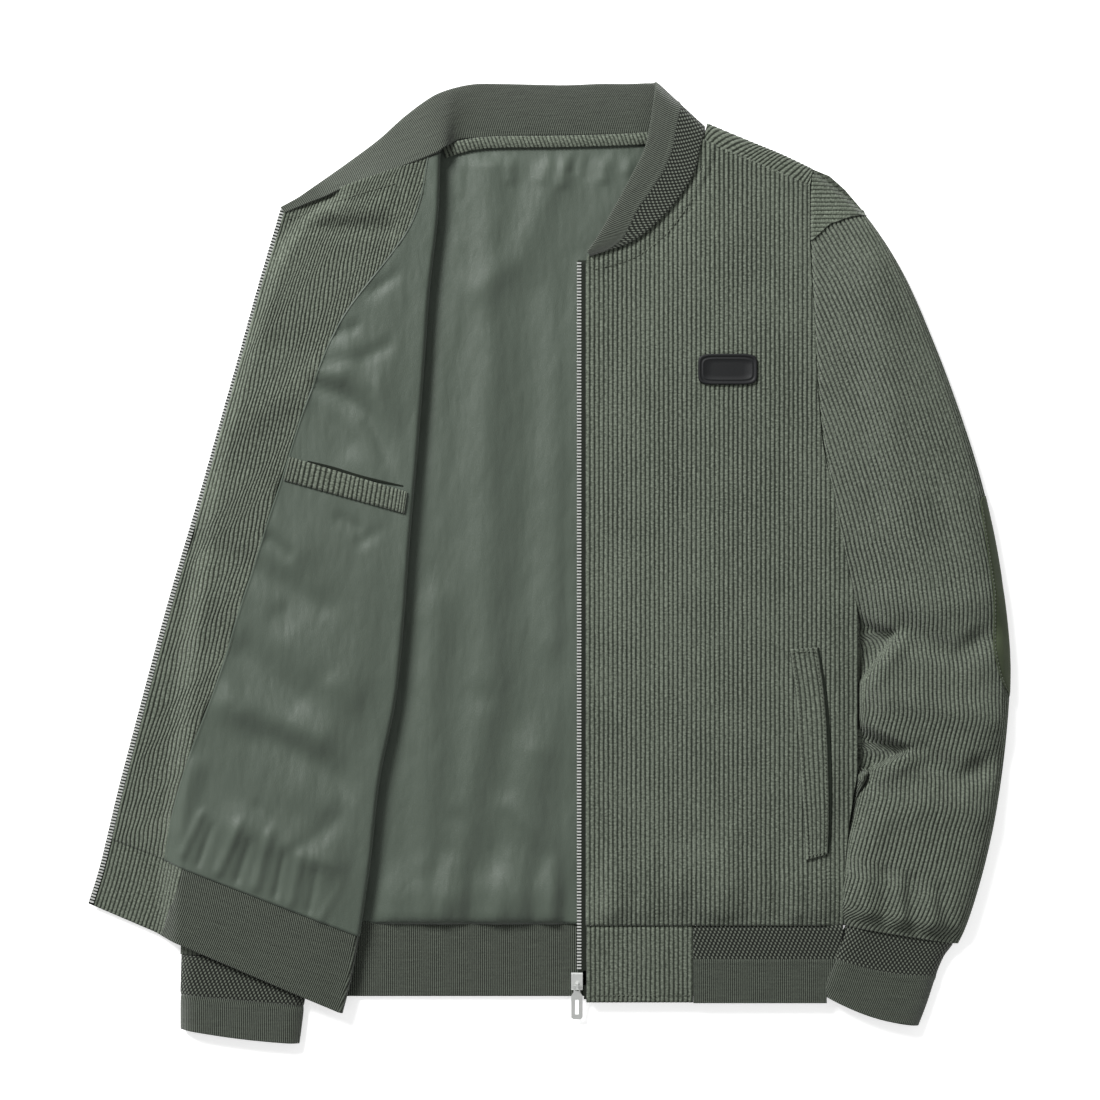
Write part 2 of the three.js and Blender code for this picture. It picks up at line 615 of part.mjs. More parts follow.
const leftCuffRows = [
  [231.5, -284.2, 316, -298, 0, 3],
  [224.5, -297, 309, -308, 0, 3.5],
  [220.5, -307.5, 303, -322, 0, 4],
  [215.5, -319, 299, -334, 0, 4],
  [212.5, -329, 295, -346, 0, 4],
  [213.5, -337, 289, -361.5, 0, 4.5],
];
const leftCuffEdges = edgesOf(leftCuffRows);
function leftCuffZ(x, y) {
  const side = Math.min(distanceTo(leftCuffEdges.outer, x, y), distanceTo(leftCuffEdges.inner, x, y));
  return mix(SIDE_Z, LEFT_CUFF_H, roundSide(side, 16));
}
pieces.push(tube("left_cuff", rib, leftCuffRows, leftCuffZ, CUFF_WALL, 20, 7));

// Collar: one rib band. Columns: neck seam x, y, z, free edge x, y, z, both in the middle of the wall.
// It runs from the opened right front, round the back, over the fold at the left shoulder and down the front.
const collarRows = [
  [-206, 274, 5.2, -209.5, 277.5, 4.6],
  [-190, 281, 10, -196.5, 284.5, 4.5],
  [-162.5, 291, 13.5, -176, 298.5, 3.6],
  [-135.5, 300, 14, -155, 313.5, 3],
  [-112, 308.5, 14, -132.5, 330.5, 3],
  [-96.5, 314.5, 14, -113, 348, 3],
  [-86, 319, 13, -93.5, 362, 2.6],
  [-79.5, 325, 10, -75.5, 370.5, 2.2],
  [-72, 330, 5, -57.5, 374.5, 1.8],
  [-53.5, 332, 2.0, -38, 374.5, 1.6],
  [-22, 333.5, 1.6, -14.5, 374, 1.6],
  [9, 334, 1.6, 13, 373.5, 1.6],
  [40, 334.5, 1.6, 40, 374.5, 1.6],
  [71.5, 335.5, 1.6, 62, 374.5, 1.6],
  [96.5, 337, 1.6, 75.5, 375, 1.6],
  [113.5, 339, 2.6, 81.5, 375, 2.4],
  [120.5, 340, 6.2, 83.5, 374.5, 5.4],
  [121, 333.5, 10.6, 83, 368, 9.4],
  [117.5, 320, 11.8, 81, 354.5, 10.4],
  [114, 305, 11.9, 78.5, 338, 10.6],
  [105.5, 289.5, 11.6, 74, 320.5, 10.6],
  [91, 271.5, 11.2, 65, 302.5, 10.4],
  [76, 257.5, 10.8, 56.5, 286.5, 10.2],
  [62.5, 249, 10.2, 47, 269.5, 9.8],
  [47, 243.5, 9.6, 37.5, 253, 9.4],
  [33, 239, 9.2, 30, 242.5, 9.0],
];
function collarSurface(u, v) {
  const [ax, ay, az, bx, by, bz] = rowAt(collarRows, v);
  return [mix(ax, bx, u), mix(ay, by, u), mix(az, bz, u)];
}
pieces.push(cloth("collar", rib, collarSurface, RIB, 4, 42));

// Left zip: tape under the edge of the front, and the chain of teeth beside it.
// Columns: edge nearer the opening x, y, edge under the front x, y.
const leftTapeRows = [
  [25.9, 232, 33, 232],
  [25.9, 40, 33, 40],
  [25.9, -150, 33, -150],
  [27.6, -318, 33, -318],
  [27.6, -341, 33, -341],
];
const TAPE_Z = 5.9;
pieces.push(laid("left_zip_tape", tape, leftTapeRows, () => TAPE_Z, LINING, 1, 8));
const leftChainRows = [
  [22.4, 236, 25.5, 236],
  [22.4, -319.5, 25.5, -319.5],
];
pieces.push(laid("left_zip_chain", nickel, leftChainRows, () => TAPE_Z, 2.0, 1, 8));

// Slider at the foot of the chain: body, and a bridge that the pull tab's eye hangs in.
const SLIDER = { x: 22.2, top: -320.2, bottom: -333.6, width: 9, lowZ: 3.8, highZ: 7.3 };
const PIVOT = { y: -330.2, z: 8.9, barR: 0.7 };
const BRIDGE = { width: 2.2, holeHalf: 1.6, holeLow: 7.9, holeHigh: 9.9, outHalf: 2.7, topZ: 10.9 };
const wasm = await Module();
wasm.setup();

// A flat outline in the Y-Z plane, extruded along X about x = centre.
function acrossX(outline, hole, centre, width) {
  const shape = new THREE.Shape(outline.map(([y, z]) => new THREE.Vector2(y, z)));
  if (hole) shape.holes.push(new THREE.Path(hole.map(([y, z]) => new THREE.Vector2(y, z))));
  const geometry = new THREE.ExtrudeGeometry(shape, { depth: width, bevelEnabled: false });
  const start = centre - width / 2;
  geometry.applyMatrix4(new THREE.Matrix4().set(0, 0, 1, start, 1, 0, 0, 0, 0, 1, 0, 0, 0, 0, 0, 1));
  return geometry;
}

function solid(geometry) {
  const index = new Map();
  const points = [];
  const corners = [];
  const source = geometry.index ? geometry.toNonIndexed() : geometry;
  const position = source.getAttribute("position");
  for (let k = 0; k < position.count; k++) {
    const p = [position.getX(k), position.getY(k), position.getZ(k)];
    const key = p.map((c) => c.toFixed(4)).join();
    if (!index.has(key)) {
      index.set(key, points.length / 3);
      points.push(...p);
    }
    corners.push(index.get(key));
  }
  const vertProperties = new Float32Array(points);
  const triVerts = new Uint32Array(corners);
  return new wasm.Manifold(new wasm.Mesh({ numProp: 3, vertProperties, triVerts }));
}

function geometryOf(body) {
  const made = body.getMesh();
  const geometry = new THREE.BufferGeometry();
  geometry.setAttribute("position", new THREE.Float32BufferAttribute(made.vertProperties, 3));
  geometry.setIndex([...made.triVerts]);
  return geometry;
}

const sliderSide = [
  [SLIDER.bottom, SLIDER.lowZ + 0.8],
  [SLIDER.bottom + 1, SLIDER.lowZ],
  [SLIDER.top - 1, SLIDER.lowZ],
  [SLIDER.top, SLIDER.lowZ + 0.8],
  [SLIDER.top, SLIDER.highZ - 0.8],
  [SLIDER.top - 1, SLIDER.highZ],
  [SLIDER.bottom + 1, SLIDER.highZ],
  [SLIDER.bottom, SLIDER.highZ - 0.8],
];
const { holeHalf, holeLow, holeHigh, outHalf } = BRIDGE;
const bridgeSide = [
  [PIVOT.y - outHalf, SLIDER.highZ - 0.5],
  [PIVOT.y + outHalf, SLIDER.highZ - 0.5],
  [PIVOT.y + outHalf, BRIDGE.topZ - 0.7],
  [PIVOT.y + outHalf - 0.8, BRIDGE.topZ],
  [PIVOT.y - outHalf + 0.8, BRIDGE.topZ],
  [PIVOT.y - outHalf, BRIDGE.topZ - 0.7],
];
const bridgeHole = [
  [PIVOT.y - holeHalf, holeLow],
  [PIVOT.y - holeHalf, holeHigh],
  [PIVOT.y + holeHalf, holeHigh],
  [PIVOT.y + holeHalf, holeLow],
];
const sliderBody = solid(acrossX(sliderSide, null, SLIDER.x, SLIDER.width));
const sliderBridge = solid(acrossX(bridgeSide, bridgeHole, SLIDER.x, BRIDGE.width));
pieces.push(named("zip_slider", nickel, geometryOf(sliderBody.add(sliderBridge))));

// Pull tab: a plate with an eye round the bridge. Its eye bar lies in the bridge and is the hinge.
// The plate is drawn about the hinge line and sloped down to the table.
const TAB = {
  length: 27,
  halfEye: 2.6,
  halfBody: 4.5,
  halfSlot: 1.3,
  eyeArm: 3.9,
  shoulder: 8,
  thick: 1.2,
  slope: 10,
};
const eyeHalf = BRIDGE.width / 2 + 0.45;
const tabOutline = [
  [-TAB.halfEye, PIVOT.barR],
  [-TAB.halfEye, -TAB.eyeArm - 1.2],
  [-TAB.halfBody, -TAB.shoulder],
  [-TAB.halfBody, -TAB.length + 1.5],
  [-TAB.halfBody + 1.5, -TAB.length],
  [TAB.halfBody - 1.5, -TAB.length],
  [TAB.halfBody, -TAB.length + 1.5],
  [TAB.halfBody, -TAB.shoulder],
  [TAB.halfEye, -TAB.eyeArm - 1.2],
  [TAB.halfEye, PIVOT.barR],
];
const rectangle = (halfW, low, high) => [[-halfW, low], [-halfW, high], [halfW, high], [halfW, low]];
const tabShape = new THREE.Shape(tabOutline.map(([x, y]) => new THREE.Vector2(x, y)));
const eye = rectangle(eyeHalf, -TAB.eyeArm, -PIVOT.barR);
const slot = rectangle(TAB.halfSlot, -TAB.length + 4, -TAB.shoulder - 3);
for (const hole of [eye, slot]) {
  tabShape.holes.push(new THREE.Path(hole.map(([x, y]) => new THREE.Vector2(x, y))));
}
const tabGeometry = new THREE.ExtrudeGeometry(tabShape, { depth: TAB.thick, bevelEnabled: false });
tabGeometry.translate(0, 0, -TAB.thick / 2);
const pull = named("zip_pull", nickel, tabGeometry);
pull.position.set(SLIDER.x, PIVOT.y, PIVOT.z);
pull.rotation.x = THREE.MathUtils.degToRad(TAB.slope);
pieces.push(pull);

const jacket = new THREE.Group();
for (const piece of pieces) jacket.add(piece);

export default jacket;
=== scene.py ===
import math

import bpy
import numpy as np
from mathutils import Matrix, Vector


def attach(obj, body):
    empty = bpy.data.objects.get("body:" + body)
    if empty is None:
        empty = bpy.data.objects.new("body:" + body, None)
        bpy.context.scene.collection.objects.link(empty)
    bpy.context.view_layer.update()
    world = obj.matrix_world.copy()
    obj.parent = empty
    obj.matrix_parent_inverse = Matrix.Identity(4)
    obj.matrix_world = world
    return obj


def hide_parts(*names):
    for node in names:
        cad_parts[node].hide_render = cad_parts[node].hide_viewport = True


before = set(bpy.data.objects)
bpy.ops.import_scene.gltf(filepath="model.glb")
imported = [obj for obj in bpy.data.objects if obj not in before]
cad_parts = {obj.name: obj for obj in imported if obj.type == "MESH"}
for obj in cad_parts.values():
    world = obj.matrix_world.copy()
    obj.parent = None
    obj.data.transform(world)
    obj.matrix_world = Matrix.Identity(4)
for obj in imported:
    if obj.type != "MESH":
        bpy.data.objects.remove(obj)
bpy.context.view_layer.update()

# A grey-olive corduroy bomber jacket laid flat on a pale table, seen from straight above. The left front lies
# outer face up, and the right front is opened out with its lining up. +Y points to the collar and the
# wearer's left side is at +X. The tables below are in millimetres, as on the jacket's pattern, and each mesh
# is made in metres.
MM = 0.001
scene = bpy.context.scene

# Camera: a long lens straight above, so that the jacket shows as it lies, with no perspective to speak of.
camera_lens = bpy.data.cameras.new("camera")
camera_lens.lens = 85.0
camera_lens.sensor_width = 36.0
camera = bpy.data.objects.new("camera", camera_lens)
scene.collection.objects.link(camera)
camera.location = (0.0012, 0.0098, 2.034)
scene.camera = camera
scene.view_settings.view_transform = "Standard"

# Light: one large soft lamp low at the upper left, a weak one from below right, and a bright room all round.
for lamp_name, place, size, power in (
    ("key_light", (-2.2, 2.7, 2.3), 1.4, 330.0),
    ("fill_light", (1.5, -0.9, 1.9), 2.0, 9.0),
):
    lamp = bpy.data.lights.new(lamp_name, "AREA")
    lamp.size = size
    lamp.energy = power
    lamp_object = bpy.data.objects.new(lamp_name, lamp)
    scene.collection.objects.link(lamp_object)
    lamp_object.location = place
    lamp_object.rotation_euler = (-Vector(place)).to_track_quat("-Z", "Y").to_euler()

room = bpy.data.worlds.new("room")
room.use_nodes = True
room.node_tree.nodes["Background"].inputs["Color"].default_value = (1.0, 1.0, 1.0, 1.0)
room.node_tree.nodes["Background"].inputs["Strength"].default_value = 0.34
scene.world = room


def to_linear(colour):
    """An sRGB hex colour as linear RGBA."""
    channels = [int(colour[i:i + 2], 16) / 255 for i in (1, 3, 5)]
    return [c / 12.92 if c <= 0.04045 else ((c + 0.055) / 1.055) ** 2.4 for c in channels] + [1.0]


def set_inputs(tree, node, inputs):
    """Gives each of a node's inputs a value or a link."""
    for key, value in inputs.items():
        if isinstance(value, bpy.types.NodeSocket):
            tree.links.new(value, node.inputs[key])
        else:
            node.inputs[key].default_value = value


def add_node(tree, kind, settings, inputs):
    """Adds a node with its settings and inputs. kind is its type without the prefix ShaderNode."""
    node = tree.nodes.new("ShaderNode" + kind)
    for name, value in settings.items():
        setattr(node, name, value)
    set_inputs(tree, node, inputs)
    return node


def new_material(name):
    """An empty node material, its tree and its Principled shader."""
    material = bpy.data.materials.new(name)
    material.use_nodes = True
    return material, material.node_tree, material.node_tree.nodes["Principled BSDF"]


# Table: a white light table, lit from inside a little, so that shadows on it stay faint. It isn't part of the
# jacket.
bpy.ops.object.select_all(action="DESELECT")
bpy.ops.mesh.primitive_plane_add(size=6.0, location=(0.0, 0.0, -0.0004))
table = bpy.context.object
table.name = "table"
table_paint, _, table_shader = new_material("matt_white_table")
table_shader.inputs["Base Color"].default_value = to_linear("#fafafa")
table_shader.inputs["Roughness"].default_value = 0.9
table_shader.inputs["Emission Color"].default_value = (1.0, 1.0, 1.0, 1.0)
table_shader.inputs["Emission Strength"].default_value = 0.5
table_shader.inputs["Specular IOR Level"].default_value = 0.1
table.data.materials.append(table_paint)

# Corduroy: cotton cut pile in rounded wales, woven over a plain ground. The pile takes the light softly, and the
# grooves between the wales get a dark colour, partly the bare ground and partly painted shade, which gives the
# cloth its stripes. Pile rubbed the other way shows as darker flecks. UV: x counts wales, y is centimetres
# along them.
WALE = 3.6
corduroy, tree, shader = new_material("corduroy")
cloth_uv = add_node(tree, "UVMap", {"uv_map": "cloth"}, {}).outputs[0]
place = add_node(tree, "TexCoord", {}, {}).outputs["Object"]
wale_count = add_node(tree, "SeparateXYZ", {}, {0: cloth_uv}).outputs[0]
tufts = add_node(tree, "Mapping", {}, {"Vector": cloth_uv, "Scale": (1.3, 7.0, 1.0)}).outputs[0]
pile = add_node(tree, "TexNoise", {},
                {"Vector": tufts, "Scale": 1.0, "Detail": 5.0, "Roughness": 0.6}).outputs[0]
slow = add_node(tree, "Mapping", {}, {"Vector": cloth_uv, "Scale": (0.35, 0.5, 1.0)}).outputs[0]
drift = add_node(tree, "TexNoise", {}, {"Vector": slow, "Scale": 1.0, "Detail": 2.0}).outputs[0]
moved = add_node(tree, "Math", {"operation": "MULTIPLY_ADD"}, {0: drift, 1: 0.3, 2: wale_count}).outputs[0]
shifted = add_node(tree, "Math", {"operation": "MULTIPLY_ADD"}, {0: pile, 1: 0.24, 2: moved}).outputs[0]
centred = add_node(tree, "Math", {"operation": "SUBTRACT"}, {0: shifted, 1: 0.27}).outputs[0]
from_groove = add_node(tree, "Math", {"operation": "PINGPONG"}, {0: centred, 1: 0.5}).outputs[0]
pressed = add_node(tree, "TexNoise", {}, {"Vector": place, "Scale": 28.0, "Detail": 2.0}).outputs[0]
flattened = add_node(tree, "Math", {"operation": "MULTIPLY_ADD"},
                     {0: pressed, 1: 0.2, 2: from_groove}).outputs[0]
level = add_node(tree, "Math", {"operation": "SUBTRACT"}, {0: flattened, 1: 0.1}).outputs[0]
uneven = add_node(tree, "Math", {"operation": "MULTIPLY_ADD"}, {0: pile, 1: 0.4, 2: level}).outputs[0]
crest = add_node(tree, "MapRange", {"interpolation_type": "SMOOTHSTEP"},
                 {"Value": uneven, "From Min": 0.2, "From Max": 0.5}).outputs[0]
flecks = add_node(tree, "MapRange", {"interpolation_type": "SMOOTHSTEP"},
                  {"Value": pile, "From Min": 0.32, "From Max": 0.66}).outputs[0]
rubbed = add_node(tree, "TexNoise", {}, {"Vector": place, "Scale": 16.0, "Detail": 3.0}).outputs[0]
rub = add_node(tree, "MapRange", {}, {"Value": rubbed, "From Min": 0.35, "From Max": 0.65}).outputs[0]
grain = add_node(tree, "TexNoise", {}, {"Vector": place, "Scale": 1100.0, "Detail": 2.0}).outputs[0]
pile_colour = add_node(tree, "Mix", {"data_type": "RGBA"},
                       {0: flecks, 6: to_linear("#444a40"), 7: to_linear("#6a7165")}).outputs[2]
worn_colour = add_node(tree, "Mix", {"data_type": "RGBA"},
                       {0: 0.22, 6: pile_colour, 7: to_linear("#656c60")}).outputs[2]
lifted_colour = add_node(tree, "Mix", {"data_type": "RGBA"},
                         {0: rub, 6: pile_colour, 7: worn_colour}).outputs[2]
# Painted shade: the grooves take the dark colour #2c3129, partly the bare ground and partly shade painted in.
ground_and_painted_groove_shade = add_node(tree, "Mix", {"data_type": "RGBA"},
                  {0: crest, 6: to_linear("#2c3129"), 7: lifted_colour}).outputs[2]
grain_tone = add_node(tree, "MapRange", {}, {"Value": grain, "To Min": 0.5, "To Max": 1.5}).outputs[0]
final_tone = add_node(tree, "Mix", {"data_type": "RGBA", "blend_type": "MULTIPLY"},
                      {0: 1.0, 6: ground_and_painted_groove_shade, 7: grain_tone}).outputs[2]
tree.links.new(final_tone, shader.inputs["Base Color"])
height = add_node(tree, "Math", {"operation": "MULTIPLY_ADD"}, {0: pile, 1: 0.9, 2: crest}).outputs[0]
surface = add_node(tree, "Math", {"operation": "MULTIPLY_ADD"}, {0: grain, 1: 0.7, 2: height}).outputs[0]
bump = add_node(tree, "Bump", {}, {"Height": surface, "Strength": 0.7, "Distance": 0.0007}).outputs[0]
set_inputs(tree, shader, {"Normal": bump, "Roughness": 0.95, "Specular IOR Level": 0.08, "Sheen Weight": 0.15,
                          "Sheen Roughness": 0.5})


def row_at(rows, t):
    """Rows of numbers on the smooth curve through a table's rows, for an array t from 0 to 1."""
    rows = np.asarray(rows, float)
    last = len(rows) - 1
    s = np.clip(t, 0.0, 1.0) * last
    i = np.minimum(np.floor(s).astype(int), last - 1)
    f = (s - i)[..., None]
    a, b, c, d = (rows[np.clip(i + k, 0, last)] for k in (-1, 0, 1, 2))
    return b + 0.5 * f * (c - a + f * (2 * a - 5 * b + 4 * c - d + f * (3 * (b - c) + d - a)))


def mix(a, b, t):
    return a + (b - a) * t


def ease(x):
    t = np.clip(x, 0.0, 1.0)
    return t * t * (3 - 2 * t)


def x_on(line, y):
    """x on a line of [x, y] points, from high y to low y."""
    line = np.asarray(line, float)
    return np.interp(-y, -line[:, 1], line[:, 0])


def level_at(z):
    """A height function that gives the same height everywhere."""
    return lambda x, y: np.full(np.shape(x), z)


def distance_to(line, x, y):
    """Shortest distance from (x, y) to a line of points."""
    best = np.full(np.shape(x), np.inf)
    for (ax, ay), (bx, by) in zip(line, line[1:]):
        dx, dy = bx - ax, by - ay
        t = np.clip(((x - ax) * dx + (y - ay) * dy) / (dx * dx + dy * dy + 1e-9), 0.0, 1.0)
        best = np.minimum(best, np.hypot(x - ax - t * dx, y - ay - t * dy))
    return best


def folds(table, x, y):
    """Sum of soft troughs and ridges. Columns: height, half width, then the points that a fold runs through."""
    z = np.zeros(np.shape(x))
    for height_mm, half_width, *line in table:
        z += height_mm * np.exp(-(distance_to(line, x, y) / half_width) ** 2)
    return z


def grid_normals(points, around=False):
    """Unit normals of a grid of points."""
    if around:
        ring = np.concatenate([points[:, -1:], points, points[:, :1]], axis=1)
        across = ring[:, 2:] - ring[:, :-2]
    else:
        across = np.gradient(points, axis=1)
    normal = np.cross(across, np.gradient(points, axis=0))
    return normal / np.maximum(np.linalg.norm(normal, axis=2, keepdims=True), 1e-9)


def cloth_object(name, upper, lower, uv, material, slot, around=False, knit=None):
    """A closed wall of cloth between two grids of points, in millimetres, that rides on the jacket."""
    rows, columns = upper.shape[:2]
    size = rows * columns
    points = np.concatenate([upper.reshape(-1, 3), lower.reshape(-1, 3)]) * MM
    grid = np.arange(size).reshape(rows, columns)
    if around:
        grid = np.concatenate([grid, grid[:, :1]], axis=1)
    top = np.stack([grid[:-1, :-1], grid[:-1, 1:], grid[1:, 1:], grid[1:, :-1]], -1).reshape(-1, 4)
    borders = [grid[0], grid[-1][::-1]]
    if not around:
        borders += [grid[::-1, 0], grid[:, -1]]
    rims = [np.stack([b[1:], b[:-1], b[:-1] + size, b[1:] + size], -1) for b in borders]
    quads = np.concatenate([top, top[:, ::-1] + size] + rims)
    corner = points[quads]
    if np.einsum("ij,ij->i", corner[:, 0], np.cross(corner[:, 1], corner[:, 2])).sum() < 0:
        quads = quads[:, ::-1]
    mesh = bpy.data.meshes.new(name)
    mesh.from_pydata(points.tolist(), [], quads.tolist())
    smooth = np.ones(len(quads), bool)
    smooth[2 * len(top):] = False
    mesh.polygons.foreach_set("use_smooth", smooth)
    layer = mesh.uv_layers.new(name="cloth")
    flat_uv = np.concatenate([uv.reshape(-1, 2), uv.reshape(-1, 2)])
    layer.data.foreach_set("uv", flat_uv[quads.ravel()].ravel())
    if knit is not None:
        marks = mesh.attributes.new("honeycomb", "FLOAT", "POINT")
        marks.data.foreach_set("value", np.concatenate([k.ravel() for k in knit]))
    mesh.materials.append(material)
    mesh.update()
    made = bpy.data.objects.new(name, mesh)
    scene.collection.objects.link(made)
    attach(made, "jacket")
    return made


def laid_points(rows, height_of, columns, steps):
    """Grid of points over the plan between two edges. Row columns: x, y of one edge, x, y of the other."""
    r = row_at(rows, np.linspace(0, 1, steps))
    u = np.linspace(0, 1, columns)[None, :]
    x = mix(r[:, 0:1], r[:, 2:3], u)
    y = mix(r[:, 1:2], r[:, 3:4], u)
    return np.stack([x, y, height_of(x, y)], -1)


def length_uv(points, across, along_unit):
    """UV in real lengths over a grid of points: x in units of across, y in units of along_unit, in mm."""
    step_u = np.linalg.norm(np.diff(points, axis=1), axis=2)
    step_v = np.linalg.norm(np.diff(points, axis=0), axis=2)
    u = np.concatenate([np.zeros((len(points), 1)), np.cumsum(step_u, 1)], 1)
    v = np.concatenate([np.zeros((1, points.shape[1])), np.cumsum(step_v, 0)], 0)
    return np.stack([u / across, v / along_unit], -1)


def walls(middle, thick, relief=0.0, around=False):
    """Upper and lower face of cloth about its middle, with relief on the upper face."""
    normal = grid_normals(middle, around)
    if not around and normal[..., 2].mean() < 0:
        normal = -normal
    outer = middle + normal * (thick / 2 + np.asarray(relief))[..., None]
    return outer, middle - normal * (thick / 2)


def wale_relief(count, depth):
    """Height of the rounded wales, 0 on the crests and -depth in the grooves."""
    return -depth * (1 - np.abs(np.sin(math.pi * count)) ** 0.55)


# Offsets across one wale at which its round back is drawn, as shares of the pitch.
WALE_STEPS = np.array([0.0, 0.13, 0.36, 0.64, 0.87])


def wale_columns(width, pitch):
    """Offsets of the columns of a grid that follows the wales, from 0 to width."""
    count = int(math.ceil(width / pitch)) + 1
    offsets = ((np.arange(count)[:, None] + WALE_STEPS[None, :]) * pitch).ravel()
    return offsets[offsets <= width + pitch * 0.3]


def kept_between(offsets, low, high, band=0.6):
    """Offsets held between a row's two edges: those beyond them are gathered into a narrow band at the edge."""
    low, high = low[:, None], high[:, None]
    d = offsets[None, :]
    first, last = d.min(), d.max()
    under = low + band * (d - first) / np.maximum(low + band - first, 1e-6)
    over = high - band * (last - d) / np.maximum(last - (high - band), 1e-6)
    kept = np.where(d < low + band, np.where(low > first, under, d), d)
    return np.where(kept > high - band, over, kept)


# Back panel: the outer back in corduroy, wales down its length. It lies on the table and carries everything.
SHELL = 1.6
HEM_SEAM_Y = -283.0
back_rows = [
    [-70, 335, 126, 338], [-112, 316, 164, 321], [-146, 290, 204, 300], [-150, 250, 207, 256],
    [-153, 190, 209, 190], [-156, 130, 213, 130], [-161, 62, 223, 62], [-164.5, 8, 235, 5],
    [-163, -60, 247, -60], [-165, -140, 253, -140], [-168, -178, 250, -176], [-170, -212, 238, -212],
    [-175, HEM_SEAM_Y + 0.5, 230, HEM_SEAM_Y + 0.5],
]
back = laid_points(back_rows, level_at(SHELL / 2), 90, 60)
back_uv = np.stack([back[..., 0] / WALE, back[..., 1] / 10], -1)
back_panel = cloth_object("back_panel", *walls(back, SHELL), back_uv, corduroy, "corduroy")
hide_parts("back_shell")

# Left front, its heights. The cloth rises from the zip to the armhole and pouches over the hem band.
LEFT_EDGE_X = 29.0
FRONT_Z = 7.8
FRONT_RISE = 3.5
HEM_Z = 8.0
left_front_rows = [
    [120, 330, 199.5, 296], [114.5, 311, 199.5, 277], [105.5, 294.5, 199.5, 258], [90, 275, 200, 240],
    [64.5, 253, 201, 223], [31, 239.5, 202, 207], [29, 207, 203.5, 182.5], [29, 166, 205, 148.5],
    [29, 127, 207, 117.5], [29, 88, 211, 84], [29, 49, 219.5, 49], [29, 6, 227.5, 6], [29, -37, 236.5, -37],
    [29, -76, 238, -76], [29, -115, 238.5, -115], [29, -154, 238, -154], [29, -193, 232, -193],
    [29, -232, 227.5, -232], [29, -263, 227, -263], [29, HEM_SEAM_Y, 228, HEM_SEAM_Y],
]
left_front_edge = [row[:2] for row in left_front_rows]
left_front_side = [row[2:] for row in left_front_rows]
ARMHOLE_TURNING = 4.0
# Gathers over the hem band and soft drags, as on the real front: uneven in length and depth.
left_front_folds = [
    [1.8, 8, [52, -225], [50, -275]], [-1.5, 7, [86, -240], [92, -278]], [1.8, 10, [140, -215], [134, -276]],
    [-1.8, 7, [176, -235], [180, -278]], [1.8, 7, [196, -245], [194, -276]], [0.7, 16, [60, 60], [64, -120]],
    [-0.7, 18, [120, 110], [128, -60]], [-0.9, 5, [68, -252], [66, -279]], [-0.9, 5, [112, -246],
                                                                            [110, -279]],
    [-1.0, 5, [156, -250], [158, -279]], [0.8, 5, [209, -250], [208, -277]],
]


def front_z(x, y):
    rise = FRONT_RISE * ease((x - LEFT_EDGE_X) / 110)
    side = 2.2 * ease((x - x_on(left_front_side, y) + 16) / 16) * ease((-y - 20) / 40)
    pouch = 2.6 * ease((-y - 215) / 40) * ease((y - HEM_SEAM_Y) / 14) * ease((x - LEFT_EDGE_X) / 22)
    calm = ease((y - HEM_SEAM_Y) / 10) * ease((x - LEFT_EDGE_X - 4) / 14)
    settle = (FRONT_Z + rise - HEM_Z - 1.0) * ease((HEM_SEAM_Y + 34 - y) / 34)
    return FRONT_Z + rise - side + pouch - settle + calm * folds(left_front_folds, x, y)


# Opened right front. Columns: zip edge x, y, fold edge x, y, share of the row that is facing, and how far the
# cloth runs back under itself to the side seam.
right_front_rows = [
    [-209, 276, -84.2, 319, 0.93, 30], [-226.5, 216.5, -86, 271, 0.855, 48],
    [-240.5, 166, -92.5, 212.5, 0.553, 52], [-256, 111, -97, 150, 0.44, 52],
    [-272.5, 52.5, -102.5, 80, 0.385, 50], [-285, 10, -108, 17.5, 0.348, 48],
    [-298.5, -37, -112.5, -45, 0.313, 44], [-311.5, -85.5, -119, -107, 0.287, 38],
    [-325.5, -138.5, -131.5, -169.5, 0.25, 30], [-336, -179, -138.5, -232, 0.227, 24],
    [-344.5, -215, -147, -291.5, 0.229, 20],
]
right_hem_rows = [
    [-344.2, -213.5, -146.9, -290.0, 0.309, 20], [-351, -241, -152.5, -322, 0.3, 18],
    [-359, -266.5, -160, -351.5, 0.289, 14],
]
fold_line = [row[2:4] for row in right_front_rows + right_hem_rows]
right_sleeve_rows = [
    [-168, 8, -154, 284], [-167, -8, -187, 262], [-166.5, -22, -205, 228], [-166, -36, -217, 190],
    [-166, -50, -230, 148], [-166, -66, -245, 98], [-166.5, -86, -255, 46], [-168, -108, -263, -8],
    [-170, -136, -270, -68], [-173, -172, -276.5, -132], [-177, -212, -281, -192], [-182, -258, -285, -252],
    [-187, -306, -287.5, -306],
]
right_sleeve_outer = [row[2:] for row in right_sleeve_rows]
